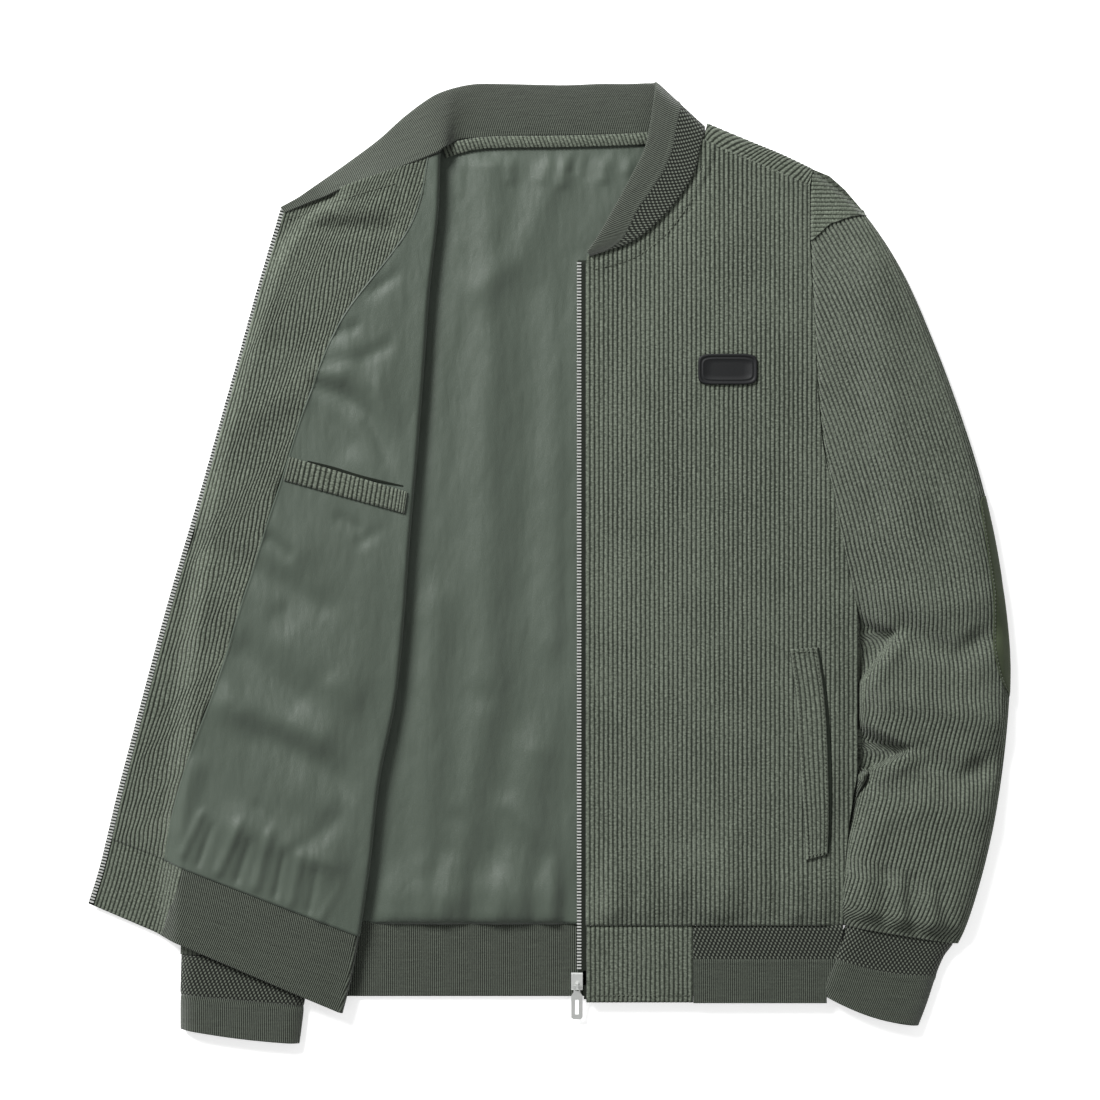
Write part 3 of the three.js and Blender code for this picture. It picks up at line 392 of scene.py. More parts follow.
# Soft diagonal folds of the opened front, in shell, facing and lining alike.
right_front_folds = [
    [-3.1, 12, [-208.0, 168], [-158.6, 92]], [2.9, 13, [-234.0, 110], [-156.0, 160]],
    [-3.4, 12, [-278.2, 20], [-178, -34]], [2.6, 14, [-195.0, 10], [-234.0, 56]],
    [-3.6, 13, [-236, -70], [-196, -104]], [3.4, 15, [-196, -60], [-150, -100]],
    [-4.4, 14, [-226, -130], [-150, -176]], [3.4, 12, [-250, -110], [-178, -136]],
    [3.9, 15, [-240, -205], [-160, -234]], [1.6, 10, [-268, -30], [-280, -60]],
    [-1.8, 9, [-300, -120], [-310, -170]], [2.1, 9, [-276, -160], [-290, -208]],
    [-2.3, 9, [-206, -40], [-172, -84]], [2.1, 10, [-258, -84], [-232, -128]],
    [-2.1, 8, [-160, -196], [-196, -226]], [-3.8, 7, [-181, 138], [-162, 131], [-141, 116], [-123, 82]],
    [2.2, 9, [-158, 146], [-134, 138], [-116, 112]], [-2.1, 5.5, [-173, 155], [-144, 159.5], [-126, 168]],
    [-1.8, 4, [-165, 178], [-150, 183]], [-1.8, 5, [-137, 211], [-117, 224]],
    [-1.9, 5, [-162, 34], [-149, 27]], [-1.8, 5, [-147, 16], [-128, 25]], [-2.0, 5.5, [-216, 18], [-203, 7]],
    [-3.6, 6, [-204, 261], [-165, 260.5], [-124, 260]], [2.4, 6, [-206, 270], [-165, 272], [-132, 276]],
]
# Short gathers above the hem band and below the neck.
hem_gathers = [
    [1.6, 3.5, [-270, -196], [-284, -226]], [-1.4, 3, [-262, -206], [-272, -234]],
    [2.0, 4, [-240, -204], [-256, -240]], [-1.6, 3.5, [-232, -218], [-242, -246]],
    [2.0, 4, [-216, -210], [-228, -252]], [-1.6, 3, [-206, -228], [-212, -258]],
    [1.7, 4, [-192, -226], [-200, -264]], [-1.5, 3.5, [-180, -240], [-186, -270]],
    [1.5, 4, [-160, -250], [-176, -276]], [1.1, 4, [-118, 250], [-112, 200]], [-1.0, 4, [-108, 180],
                                                                               [-112, 120]],
    [1.4, 5, [-196, -228], [-160, -236]], [-1.2, 5, [-226, -190], [-206, -212]],
]
FOLD_REACH = 5.4
FOLD_Z = 8.8
FOLD_R = 3.2
EDGE_Z = 3.0
ZIP_INSET = 3.2
LINING = 1.0
FACING = 1.2
PLY = 0.4
SEAM = 0.5
OVER_LINING = (SHELL + LINING) / 2 + PLY
OVER_FACING = (SHELL + FACING) / 2 + PLY


def opened_z(x, y):
    over_sleeve = ease((x - x_on(right_sleeve_outer, y) + 22) / 22)
    clear_of_fold = ease((x_on(fold_line, y) - x - 10) / 26)
    cross_folds = clear_of_fold * mix(0.4, 1.0, over_sleeve) * folds(right_front_folds, x, y)
    lift = 1.2 * clear_of_fold * over_sleeve
    gathers = clear_of_fold * folds(hem_gathers, x, y)
    return mix(EDGE_Z, FOLD_Z + FOLD_R + lift, over_sleeve) + cross_folds + gathers


def opened_cloth(rows, off, t, seam_side=0.0, steps=120):
    """Grid of points of the opened front's cloth, off above the shell's middle. t: see below."""
    r = row_at(rows, np.linspace(0, 1, steps))
    zx, zy, fx, fy, share, leg = (r[:, k:k + 1] for k in range(6))
    width = np.hypot(zx - fx, zy - fy)
    ex, ey = (zx - fx) / width, (zy - fy) / width
    seam = (1 - share) * width + seam_side
    radius = FOLD_R + off
    t = t[None, :]
    angle = math.pi * ((t - TURN) / (TOP - TURN) - 0.5)
    under = mix(leg, FOLD_REACH, t / TURN)
    round_fold = FOLD_REACH - radius * np.sqrt(np.abs(np.cos(angle)))
    on_lining = mix(FOLD_REACH, seam, (t - TOP) / (FACE - TOP))
    on_facing = mix(seam, width - ZIP_INSET, (t - FACE) / (1 - FACE))
    s = np.where(t < TURN, under, np.where(t < TOP, round_fold, np.where(t < FACE, on_lining, on_facing)))
    x, y = fx + ex * s, fy + ey * s
    folded = np.where(t < TURN, FOLD_Z - radius, FOLD_Z + radius * np.sin(angle))
    return np.stack([x, y, np.where(t < TOP, folded, opened_z(x, y) + off)], -1)


# t runs from 0 at the side seam, under the cloth, round the fold from TURN to TOP, over to the facing seam at
# FACE, and on to the zip at 1.
TURN, TOP, FACE = 0.1, 0.35, 0.75

# Lining: polyester satin, smooth with a soft sheen along its folds. Its weave is too fine to see, so it is drawn
# at 0.5 mm, as coarse as it needs to show at all.
satin, tree, shader = new_material("satin_lining")
place = add_node(tree, "TexCoord", {}, {}).outputs["Object"]
cloud = add_node(tree, "TexNoise", {}, {"Vector": place, "Scale": 9.0, "Detail": 3.0}).outputs[0]
tone = add_node(tree, "Mix", {"data_type": "RGBA"},
                {0: cloud, 6: to_linear("#3d463c"), 7: to_linear("#495249")}).outputs[2]
tree.links.new(tone, shader.inputs["Base Color"])
weave = add_node(tree, "TexNoise", {}, {"Vector": place, "Scale": 2000.0, "Detail": 1.0}).outputs[0]
slanted = add_node(tree, "Mapping", {},
                   {"Vector": place, "Rotation": (0.0, 0.0, 0.9), "Scale": (34.0, 13.0, 20.0)}).outputs[0]
ripple = add_node(tree, "TexNoise", {}, {"Vector": slanted, "Scale": 1.0, "Detail": 3.0}).outputs[0]
crossed = add_node(tree, "Mapping", {},
                   {"Vector": place, "Rotation": (0.0, 0.0, -0.7), "Scale": (26.0, 9.0, 20.0)}).outputs[0]
web = add_node(tree, "TexNoise", {}, {"Vector": crossed, "Scale": 1.0, "Distortion": 0.8}).outputs[0]
off_line = add_node(tree, "Math", {"operation": "SUBTRACT"}, {0: web, 1: 0.5}).outputs[0]
wrinkle = add_node(tree, "Math", {"operation": "ABSOLUTE"}, {0: off_line}).outputs[0]
creased = add_node(tree, "Math", {"operation": "MULTIPLY_ADD"}, {0: wrinkle, 1: 6.0, 2: weave}).outputs[0]
relief = add_node(tree, "Math", {"operation": "MULTIPLY_ADD"}, {0: ripple, 1: 16.0, 2: creased}).outputs[0]
bump = add_node(tree, "Bump", {}, {"Height": relief, "Strength": 0.6, "Distance": 0.0004}).outputs[0]
set_inputs(tree, shader, {"Normal": bump, "Roughness": 0.5, "Specular IOR Level": 0.3, "Sheen Weight": 0.15})

# Back lining: one satin panel sewn in round the neck, armholes and hem. It lies in long soft folds down from the
# neck and pouches over the hem band.
BACK_LINING_Z = 2.4
LINING_DROP = 3.8
back_lining_folds = [
    [2.7, 12, [-83.7, 250], [-102.6, 60]], [3.5, 14, [-45.9, 318],
                                            [-48, -90]], [2.4, 12, [2.7, 300], [-21.6, 240], [-54.0, 214]],
    [2.2, 14, [18.9, 150], [6, -60]], [-1.6, 12, [-10.8, 210], [-20, -120]], [3.0, 12, [-88, -30],
                                                                              [-96, -230]],
    [3.8, 12, [-52, -120], [-70, -262]], [3.5, 13, [-10, -150], [-24, -266]], [2.0, 4, [14.9, 324],
                                                                               [10.8, 296]],
    [1.9, 4, [45.9, 324], [43.2, 300]], [-1.6, 3.5, [23.0, 324], [18.9, 306]], [1.4, 3.5, [64.8, 324],
                                                                                [62.1, 306]],
    [1.6, 4, [-27.0, 324], [-29.7, 300]], [1.5, 5, [5.4, 326], [-5.4, 300]], [-1.2, 3.5, [81.0, 324],
                                                                              [77.0, 308]],
    [1.5, 5, [-67.5, 322], [-72.9, 290]], [-1.2, 4, [32.4, 322], [29.7, 302]], [2.0, 6, [-100, -236],
                                                                                [-96, -276]],
    [2.4, 6, [-78, -236], [-84, -277]], [2.4, 7, [-34, -232], [-40, -277]], [2.2, 6, [4, -236], [2, -277]],
    [-1.9, 5, [-60, -242], [-62, -278]], [-1.9, 5, [-14, -244], [-12, -278]], [1.6, 8, [-151.2, 40],
                                                                               [-104, -40]],
    [2.2, 9, [-30, -190], [20, -236]], [-1.8, 8, [-70, -200], [-40, -236]],
]


def lining_z(x, y):
    clear_of_fold = ease((x - x_on(fold_line, y) - 3) / 22)
    open_part = 1 - ease((x - x_on(left_front_edge, y) + 26) / 16)
    under_front = ease((x - x_on(left_front_edge, y) + 24) / 18)
    pouch = 4.6 * ease((-y - 228) / 34) * ease((y - HEM_SEAM_Y) / 5)
    top = ease((322 - y) / 14)
    opened = BACK_LINING_Z + open_part * clear_of_fold * top * (folds(back_lining_folds, x, y) + pouch + 0.6)
    drop = LINING_DROP + 0.9 * (1 - ease((x - LEFT_EDGE_X) / 22))
    carried = front_z(np.maximum(x, LEFT_EDGE_X), y) - drop
    return mix(opened, carried, under_front * ease((330 - y) / 30))


lining_rows = [[ax + 1, ay, min(bx, float(x_on(left_front_side, by))) - 1, by] for ax, ay, bx,
               by in back_rows]
lining = laid_points(lining_rows, lining_z, 110, 170)
lining_uv = np.stack([lining[..., 0], lining[..., 1]], -1)
back_lining = cloth_object("back_lining_satin", *walls(lining, LINING), lining_uv, satin, "satin")
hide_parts("back_lining")

# Rib knit: one knitted band for collar, cuffs and hem. Its plain part shows fine ribs, and the band beside the
# seam is knitted in a small honeycomb that looks light on dark. UV: millimetres, x along the ribs.
rib_knit, tree, shader = new_material("rib_knit")
band_uv = add_node(tree, "UVMap", {"uv_map": "cloth"}, {}).outputs[0]
place = add_node(tree, "TexCoord", {}, {}).outputs["Object"]
marked = add_node(tree, "Attribute", {"attribute_name": "honeycomb"}, {}).outputs["Fac"]
parts = add_node(tree, "SeparateXYZ", {}, {0: band_uv})
leaned = add_node(tree, "Math", {"operation": "MULTIPLY_ADD"},
                  {0: parts.outputs[1], 1: 0.3, 2: parts.outputs[0]}).outputs[0]
cell_x = add_node(tree, "Math", {"operation": "MULTIPLY"}, {0: leaned, 1: 2 * math.pi / 3.2}).outputs[0]
cell_y = add_node(tree, "Math", {"operation": "MULTIPLY"},
                  {0: parts.outputs[1], 1: 2 * math.pi / 4.4}).outputs[0]
wave_x = add_node(tree, "Math", {"operation": "COSINE"}, {0: cell_x}).outputs[0]
wave_y = add_node(tree, "Math", {"operation": "COSINE"}, {0: cell_y}).outputs[0]
lattice = add_node(tree, "Math", {"operation": "MULTIPLY"}, {0: wave_x, 1: wave_y}).outputs[0]
loops = add_node(tree, "MapRange", {"interpolation_type": "SMOOTHSTEP"},
                 {"Value": lattice, "From Min": -0.12, "From Max": 0.55}).outputs[0]
honey_tone = add_node(tree, "Mix", {"data_type": "RGBA"},
                      {0: loops, 6: to_linear("#11140f"), 7: to_linear("#5f655a")}).outputs[2]
stretched = add_node(tree, "Mapping", {}, {"Vector": band_uv, "Scale": (0.05, 0.8, 1.0)}).outputs[0]
streaks = add_node(tree, "TexNoise", {}, {"Vector": stretched, "Scale": 1.0, "Detail": 2.0}).outputs[0]
fine = add_node(tree, "Mapping", {}, {"Vector": band_uv, "Scale": (0.9, 0.5, 1.0)}).outputs[0]
broken = add_node(tree, "TexNoise", {}, {"Vector": fine, "Scale": 1.0, "Detail": 3.0}).outputs[0]
fine_rib = add_node(tree, "Mix", {"data_type": "FLOAT"}, {0: 0.5, 2: streaks, 3: broken}).outputs[0]
rib_wave = add_node(tree, "Math", {"operation": "SINE"},
                    {0: add_node(tree, "Math", {"operation": "MULTIPLY"},
                                 {0: parts.outputs[0], 1: 2 * math.pi / 1.5}).outputs[0]}).outputs[0]
rib_line = add_node(tree, "Math", {"operation": "MULTIPLY_ADD"},
                    {0: rib_wave, 1: 0.5, 2: fine_rib}).outputs[0]
plain_tone = add_node(tree, "Mix", {"data_type": "RGBA"},
                      {0: rib_line, 6: to_linear("#191c16"), 7: to_linear("#5c6358")}).outputs[2]
is_honeycomb = add_node(tree, "MapRange", {}, {"Value": marked, "From Min": 0.4, "From Max": 0.6}).outputs[0]
knit_tone = add_node(tree, "Mix", {"data_type": "RGBA"},
                     {0: is_honeycomb, 6: plain_tone, 7: honey_tone}).outputs[2]
tree.links.new(knit_tone, shader.inputs["Base Color"])
knit_height = add_node(tree, "Mix", {"data_type": "FLOAT"},
                       {0: is_honeycomb, 2: rib_line, 3: loops}).outputs[0]
fuzz = add_node(tree, "TexNoise", {}, {"Vector": place, "Scale": 1800.0, "Detail": 2.0}).outputs[0]
relief = add_node(tree, "Math", {"operation": "MULTIPLY_ADD"}, {0: fuzz, 1: 0.5, 2: knit_height}).outputs[0]
bump = add_node(tree, "Bump", {}, {"Height": relief, "Strength": 0.9, "Distance": 0.0009}).outputs[0]
set_inputs(tree, shader, {"Normal": bump, "Roughness": 0.92, "Specular IOR Level": 0.15, "Sheen Weight": 0.2})

# Back hem band: double rib knit, stretched flat under the pouch of the lining.
RIB = 3.0
band = laid_points([[-176, HEM_SEAM_Y + 2.5, 228, HEM_SEAM_Y + 2.5], [-178, -339, 216, -339]],
                   level_at(0.1 + RIB / 2), 200, 30)
band_uvs = np.stack([band[..., 0], band[..., 1]], -1)
plain = (np.zeros(band.shape[:2]), np.zeros(band.shape[:2]))
back_band = cloth_object("back_hem_band", *walls(band, RIB), band_uvs, rib_knit, "rib_knit", knit=plain)
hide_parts("back_hem_rib")

# Neck binding: a narrow bias strip of corduroy that covers the seam between collar and back.
binding_rows = [
    [-84, 326, -80, 316], [-62, 331, -60, 322], [-38, 333, -37, 324], [9, 333.5, 9, 324.5], [60, 335, 61,
                                                                                             326],
    [100, 338, 104, 329],
]
binding = laid_points(binding_rows, level_at(4.7), 13, 360)
roll = 0.9 * np.sin(np.linspace(0, math.pi, 13)) - 0.4
binding[..., 2] += roll[None, :]
binding_uv = length_uv(binding, 10, WALE * 0.85)[..., ::-1]
binding_relief = wale_relief(binding_uv[..., 0], 0.6)
neck_binding = cloth_object("neck_binding_strip", *walls(binding, FACING, binding_relief), binding_uv,
                            corduroy,
                            "corduroy")
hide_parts("neck_binding")

# Opened right front: the outer corduroy lies face down and turns back under itself at the side, so that only its
# edge shows.
t_all = np.concatenate([np.linspace(0, TURN, 8)[:-1], np.linspace(TURN, TOP, 20)[:-1],
                        np.linspace(TOP, FACE, 40)[:-1], np.linspace(FACE, 1, 30)])
right_shell = opened_cloth(right_front_rows, 0.0, t_all)
right_uv = length_uv(right_shell, WALE, 10)
right_front = cloth_object("right_front_panel", *walls(right_shell, SHELL), right_uv, corduroy, "corduroy")
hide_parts("right_front")

# Lining of the right front: satin from the side seam, over the fold, to the facing, with soft diagonal folds and
# short gathers where it is sewn to the hem band.
lining_t = np.concatenate([np.linspace(0, TURN, 8)[:-1], np.linspace(TURN, TOP, 24)[:-1],
                           np.linspace(TOP, FACE, 110)])
right_satin = opened_cloth(right_front_rows, OVER_LINING, lining_t, 0.9, 140)
right_satin[..., 2] += 0.9 * ease((lining_t - 0.745) / 0.005)[None, :]
satin_uv = length_uv(right_satin, 1.0, 1.0)
right_lining = cloth_object("right_front_satin", *walls(right_satin, LINING), satin_uv, satin, "satin")
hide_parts("right_front_lining")

# Facing of the right front: corduroy with the wales parallel to the zip, ending at the lining seam.
facing_steps = 130
r = row_at(right_front_rows, np.linspace(0, 1, facing_steps))
zip_xy, fold_xy = r[:, 0:2], r[:, 2:4]
row_width = np.hypot(*(zip_xy - fold_xy).T)
inward = (fold_xy - zip_xy) / row_width[:, None]
FACING_PITCH = 3.05
facing_offsets = wale_columns(132.0, FACING_PITCH)
facing_w = kept_between(facing_offsets + ZIP_INSET, np.full(facing_steps, ZIP_INSET),
                        r[:, 4] * row_width - SEAM / 2)
down = np.linspace(0, 1, facing_steps)[:, None]
wander = 1.1 * np.sin(down * 19 + facing_w / 22) + 1.3 * np.sin(down * 41 + facing_w / 11 + 1.0) ** 3
wander = wander * ease((facing_w - 4) / 14)
facing_xy = zip_xy[:, None, :] + inward[:, None, :] * (facing_w + wander)[..., None]
facing = np.concatenate([facing_xy,
                         (opened_z(facing_xy[..., 0], facing_xy[..., 1]) + OVER_FACING)[..., None]], -1)
facing_count = (facing_w - ZIP_INSET) / FACING_PITCH
facing_uv = np.stack([facing_count, np.broadcast_to(down * 53, facing_w.shape)], -1)
squeezed = np.gradient(facing_w, axis=1) < 0.06
facing_relief = np.where(squeezed, -0.4, wale_relief(facing_count, 0.8))
right_facing = cloth_object("right_front_facing", *walls(facing, FACING, facing_relief), facing_uv,
                            corduroy, "corduroy")
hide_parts("right_facing")

# Inner welt pocket: a strip of corduroy with its wales across, and above it a thin dark sheet, painted shadow
# in the pocket's slit.
welt_rows = [[-201.5, 82.5, -206, 64], [-152, 67.5, -155, 50], [-109.5, 55, -112, 38]]
welt_length = 97.0
welt_marks = wale_columns(welt_length, 3.4) / welt_length
welt_marks = welt_marks[welt_marks <= 1.0]
r = row_at(welt_rows, welt_marks)
u = np.linspace(0, 1, 9)[None, :]
x, y = mix(r[:, 0:1], r[:, 2:3], u), mix(r[:, 1:2], r[:, 3:4], u)
welt = np.stack([x, y, opened_z(x, y) + OVER_FACING + FACING + 1.5 * PLY], -1)
welt_count = np.broadcast_to((welt_marks * welt_length / 3.4)[:, None], x.shape)
welt_relief = wale_relief(welt_count, 0.8) - 0.5 * (np.abs(u - 0.5) * 2) ** 6
welt_uv = np.stack([welt_count, np.broadcast_to(u * 1.9, x.shape)], -1)
inner_welt = cloth_object("inner_pocket_welt", *walls(welt, FACING, welt_relief), welt_uv, corduroy,
                          "corduroy")
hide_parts("right_inner_welt")

# Painted shadow: a thin dark sheet in each pocket slit stands for the shade inside it.
painted_slit_shadow, _, dark_shader = new_material("pocket_shadow")
dark_shader.inputs["Base Color"].default_value = to_linear("#20241f")
dark_shader.inputs["Roughness"].default_value = 1.0
dark_shader.inputs["Specular IOR Level"].default_value = 0.0
slit_rows = [[-187, 79.3, -187.3, 78.5], [-168, 74.8, -168.5, 72.5], [-148, 68.6, -148.5, 66],
             [-130, 64, -130.5, 62],
             [-113, 60, -113.3, 59.2]]
slit = laid_points(slit_rows, lambda x, y: opened_z(x, y) + OVER_LINING + 0.75, 5, 60)
inner_slit_shadow = cloth_object("inner_pocket_slit_shadow", *walls(slit, 0.5), length_uv(slit, 1, 1), painted_slit_shadow, "satin")

# Right hem: a corduroy tab at the zip, wales parallel to it, and the rib band turned under at the fold.
TAB_WALL = 2.4
tab_t = mix(FACE, 1.0, np.linspace(0, 1, 110))
right_tab_mid = opened_cloth(right_hem_rows, 0.8, tab_t, SEAM, 24)
tab_uv = length_uv(right_tab_mid, FACING_PITCH * 1.05, 10)
tab_uv[..., 0] = tab_uv[:, -1:, 0] - tab_uv[..., 0]
right_tab = cloth_object("right_hem_tab_corduroy",
                         *walls(right_tab_mid, TAB_WALL, wale_relief(tab_uv[..., 0], 0.7)),
                         tab_uv, corduroy, "corduroy")
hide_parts("right_hem_tab")

band_t = np.concatenate([np.linspace(0, TURN, 8)[:-1], np.linspace(TURN, TOP, 20)[:-1],
                         np.linspace(TOP, FACE, 60)])
right_band_mid = opened_cloth(right_hem_rows, 0.2, band_t, 1.5, 30)
plain = (np.zeros(right_band_mid.shape[:2]), np.zeros(right_band_mid.shape[:2]))
right_band = cloth_object("right_hem_band", *walls(right_band_mid, RIB), length_uv(right_band_mid, 1.0, 1.0),
                          rib_knit, "rib_knit", knit=plain)
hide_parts("right_hem_rib")

# Sleeves and cuffs lie as flattened tubes. The right sleeve is hidden under the opened front.
SIDE_Z = 5.0
RIGHT_SLEEVE_H = 10.5


def round_side(distance, radius):
    away = 1 - np.clip(distance / radius, 0.0, 1.0)
    return np.sqrt(1 - away * away)


def tube_face(rows, top_of, inset, around_steps, steps):
    """One face of a laid tube. Columns of its table: inner edge x, y, outer edge x, y, bow towards -Y."""
    r = row_at(rows, np.linspace(0, 1, steps))
    bow = r[:, 4:5] if r.shape[1] > 4 else 0.0
    angle = 2 * math.pi * np.arange(around_steps)[None, :] / around_steps
    margin = inset / np.hypot(r[:, 2:3] - r[:, 0:1], r[:, 3:4] - r[:, 1:2])
    share = mix(margin, 1 - margin, (1 - np.cos(angle)) / 2)
    x = mix(r[:, 2:3], r[:, 0:1], share)
    y = mix(r[:, 3:4], r[:, 1:2], share) - bow * np.sin(math.pi * share)
    up = np.sin(angle) * np.ones_like(x)
    above = mix(SIDE_Z, top_of(x, y) - inset, np.minimum(np.maximum(up, 0) / 0.5, 1) ** 0.5)
    below = mix(SIDE_Z, inset, np.minimum(np.maximum(-up, 0) / 0.6, 1) ** 0.5)
    return np.stack([x, y, np.where(up >= 0, above, below)], -1)


def dense_edge(rows, column):
    return row_at(rows, np.linspace(0, 1, 40))[:, column:column + 2].tolist()


right_outer, right_inner = dense_edge(right_sleeve_rows, 2), dense_edge(right_sleeve_rows, 0)


def right_sleeve_z(x, y):
    rounded = round_side(distance_to(right_outer, x, y), 26) * round_side(distance_to(right_inner, x, y), 22)
    return mix(SIDE_Z, RIGHT_SLEEVE_H, rounded)


upper = tube_face(right_sleeve_rows, right_sleeve_z, 0.0, 80, 60)
lower = tube_face(right_sleeve_rows, right_sleeve_z, SHELL, 80, 60)
right_sleeve = cloth_object("right_sleeve_tube", upper, lower, length_uv(upper, WALE, 10), corduroy,
                            "corduroy", True)
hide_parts("right_sleeve")

right_cuff_rows = [
    [-189, -306.6, -286.5, -306.6, 0], [-190, -330, -287, -322, 0], [-191.5, -352, -287.5, -343, 0],
    [-194.5, -375.5, -287.5, -364, 1.5],
]
CUFF_WALL = 2.0
right_cuff_outer, right_cuff_inner = dense_edge(right_cuff_rows, 2), dense_edge(right_cuff_rows, 0)


def right_cuff_z(x, y):
    side = np.minimum(distance_to(right_cuff_outer, x, y), distance_to(right_cuff_inner, x, y))
    return mix(SIDE_Z, RIGHT_SLEEVE_H, round_side(side, 14))


def cuff_object(name, rows, top_of, ridge, steps=44):
    """A cuff: honeycomb above a raised ridge, plain ribs below it."""
    outer = tube_face(rows, top_of, 0.0, 110, steps)
    inner = tube_face(rows, top_of, CUFF_WALL, 110, steps)
    v = np.linspace(0, 1, steps)[:, None] * np.ones((1, 110))
    relief_mm = 0.45 * np.exp(-((v - ridge) / 0.03) ** 2) - 0.3 * (v < ridge)
    outward = grid_normals(outer, around=True)
    outer = outer + outward * relief_mm[..., None]
    honey = (v < ridge - 0.02).astype(float)
    made = cloth_object(name, outer, inner, length_uv(outer, 1.0, 1.0), rib_knit, "rib_knit", True,
                        (honey, np.zeros_like(honey)))
    return made


right_cuff = cuff_object("right_cuff_knit", right_cuff_rows, right_cuff_z, 0.58)
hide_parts("right_cuff")

# Sewing: thick matt thread in the colour of the cloth. Each stitch is a small spindle that sinks in at its ends.
thread, tree, shader = new_material("sewing_thread")
place = add_node(tree, "TexCoord", {}, {}).outputs["Object"]
fibres = add_node(tree, "TexNoise", {}, {"Vector": place, "Scale": 2600.0, "Detail": 2.0}).outputs[0]
tone = add_node(tree, "Mix", {"data_type": "RGBA"},
                {0: fibres, 6: to_linear("#2f342b"), 7: to_linear("#5a6054")}).outputs[2]
tree.links.new(tone, shader.inputs["Base Color"])
bump = add_node(tree, "Bump", {}, {"Height": fibres, "Strength": 0.5, "Distance": 0.0002}).outputs[0]
set_inputs(tree, shader, {"Normal": bump, "Roughness": 0.85})
STITCH_RADIUS = 0.46
STITCH_SIDES = 6
spindle_along = np.linspace(-0.5, 0.5, 6)
spindle_radius = STITCH_RADIUS * np.cos(math.pi * spindle_along) ** 0.6 + 0.02
spindle_angle = 2 * math.pi * np.arange(STITCH_SIDES) / STITCH_SIDES


def stitch_row(name, line, pitch=3.0):
    """A row of stitches along a line of points on the cloth, in millimetres."""
    line = np.asarray(line, float)
    run = np.concatenate([[0], np.cumsum(np.linalg.norm(np.diff(line, axis=0), axis=1))])
    points, faces = [], []
    for start in np.arange(0.3, run[-1] - pitch * 0.8, pitch):
        ends = np.array([[np.interp(start + d, run, line[:, c]) for c in range(3)] for d in (0.0,
                                                                                             pitch * 0.76)])
        along = ends[1] - ends[0]
        length = np.linalg.norm(along)
        along /= length
        side = np.cross(along, (0.0, 0.0, 1.0))
        side /= np.linalg.norm(side)
        up = np.cross(side, along)
        first = len(points)
        for share, radius in zip(spindle_along, spindle_radius):
            middle = ends.mean(axis=0) + along * share * length + up * 0.3 * math.cos(math.pi * share)
            points += [middle + radius * (side * math.cos(a) + up * math.sin(a)) for a in spindle_angle]
        for i in range(len(spindle_along) - 1):
            for j in range(STITCH_SIDES):
                k = (j + 1) % STITCH_SIDES
                low, high = first + i * STITCH_SIDES, first + (i + 1) * STITCH_SIDES
                faces.append((low + j, high + j, high + k, low + k))
        last = first + (len(spindle_along) - 1) * STITCH_SIDES
        faces.append(tuple(first + j for j in range(STITCH_SIDES)))
        faces.append(tuple(last + j for j in reversed(range(STITCH_SIDES))))
    mesh = bpy.data.meshes.new(name)
    mesh.from_pydata((np.array(points) * MM).tolist(), [], faces)
    mesh.polygons.foreach_set("use_smooth", np.ones(len(faces), bool))
    mesh.materials.append(thread)
    mesh.update()
    made = bpy.data.objects.new(name, mesh)
    scene.collection.objects.link(made)
    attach(made, "jacket")
    return made


def raised(line, height_of, steps=80):
    """A smooth line through plan points, laid on a surface."""
    xy = row_at(line, np.linspace(0, 1, steps))
    return np.column_stack([xy, height_of(xy[:, 0], xy[:, 1])])


# Left front: corduroy panel, outer face up, its wales parallel to the zip. A row of stitching runs along the neck
# seam, and another along the neck of the opened front's facing.
FRONT_PITCH = 3.6
front_steps = 110
r = row_at(left_front_rows, np.linspace(0, 1, front_steps))
front_offsets = wale_columns(211.0, FRONT_PITCH)
front_w = kept_between(front_offsets, r[:, 0] - LEFT_EDGE_X, r[:, 2] - LEFT_EDGE_X + ARMHOLE_TURNING)
span = (r[:, 2] - r[:, 0])[:, None]
share = (front_w + LEFT_EDGE_X - r[:, 0:1]) / span
x, y = mix(r[:, 0:1], r[:, 2:3], share), mix(r[:, 1:2], r[:, 3:4], share)
front = np.stack([x, y, front_z(x, y)], -1)
front_count = front_w / FRONT_PITCH
squeezed = np.gradient(front_w, axis=1) < 0.06
neck_line = [[124, 326], [118.5, 307.5], [109.5, 290.5], [93.5, 270], [67, 248], [32, 234.5]]
from_neck = distance_to(neck_line, x, y)
neck_stitch = 0.7 * np.sin(math.pi * np.clip(from_neck / 8.6, 0,
                                             1)) ** 2 - 0.9 * np.exp(-((from_neck - 8.6) / 1.1) ** 2)
front_relief = np.where(squeezed, -0.1, wale_relief(front_count, 0.9)) + neck_stitch
front_uv = np.stack([front_count, y / 10], -1)
left_front = cloth_object("left_front_panel", *walls(front, SHELL, front_relief), front_uv, corduroy,
                          "corduroy")
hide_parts("left_front")

front_stitch_line = [[36, 229], [39.4, 229.5], [66.7, 237.5], [90.1, 254.5], [103, 270], [110.4, 281],
                     [116.5, 296],
                     [120, 311]]
stitch_row("left_neck_stitches", raised(front_stitch_line, lambda x, y: front_z(x, y) + SHELL / 2 - 0.35),
           3.8)
facing_stitch_line = [[-203.2, 267.9], [-180, 275.5], [-150, 285.5], [-118, 295]]
stitch_row("facing_neck_stitches",
           raised(facing_stitch_line, lambda x, y: opened_z(x, y) + OVER_FACING + FACING / 2 - 0.1), 3.6)

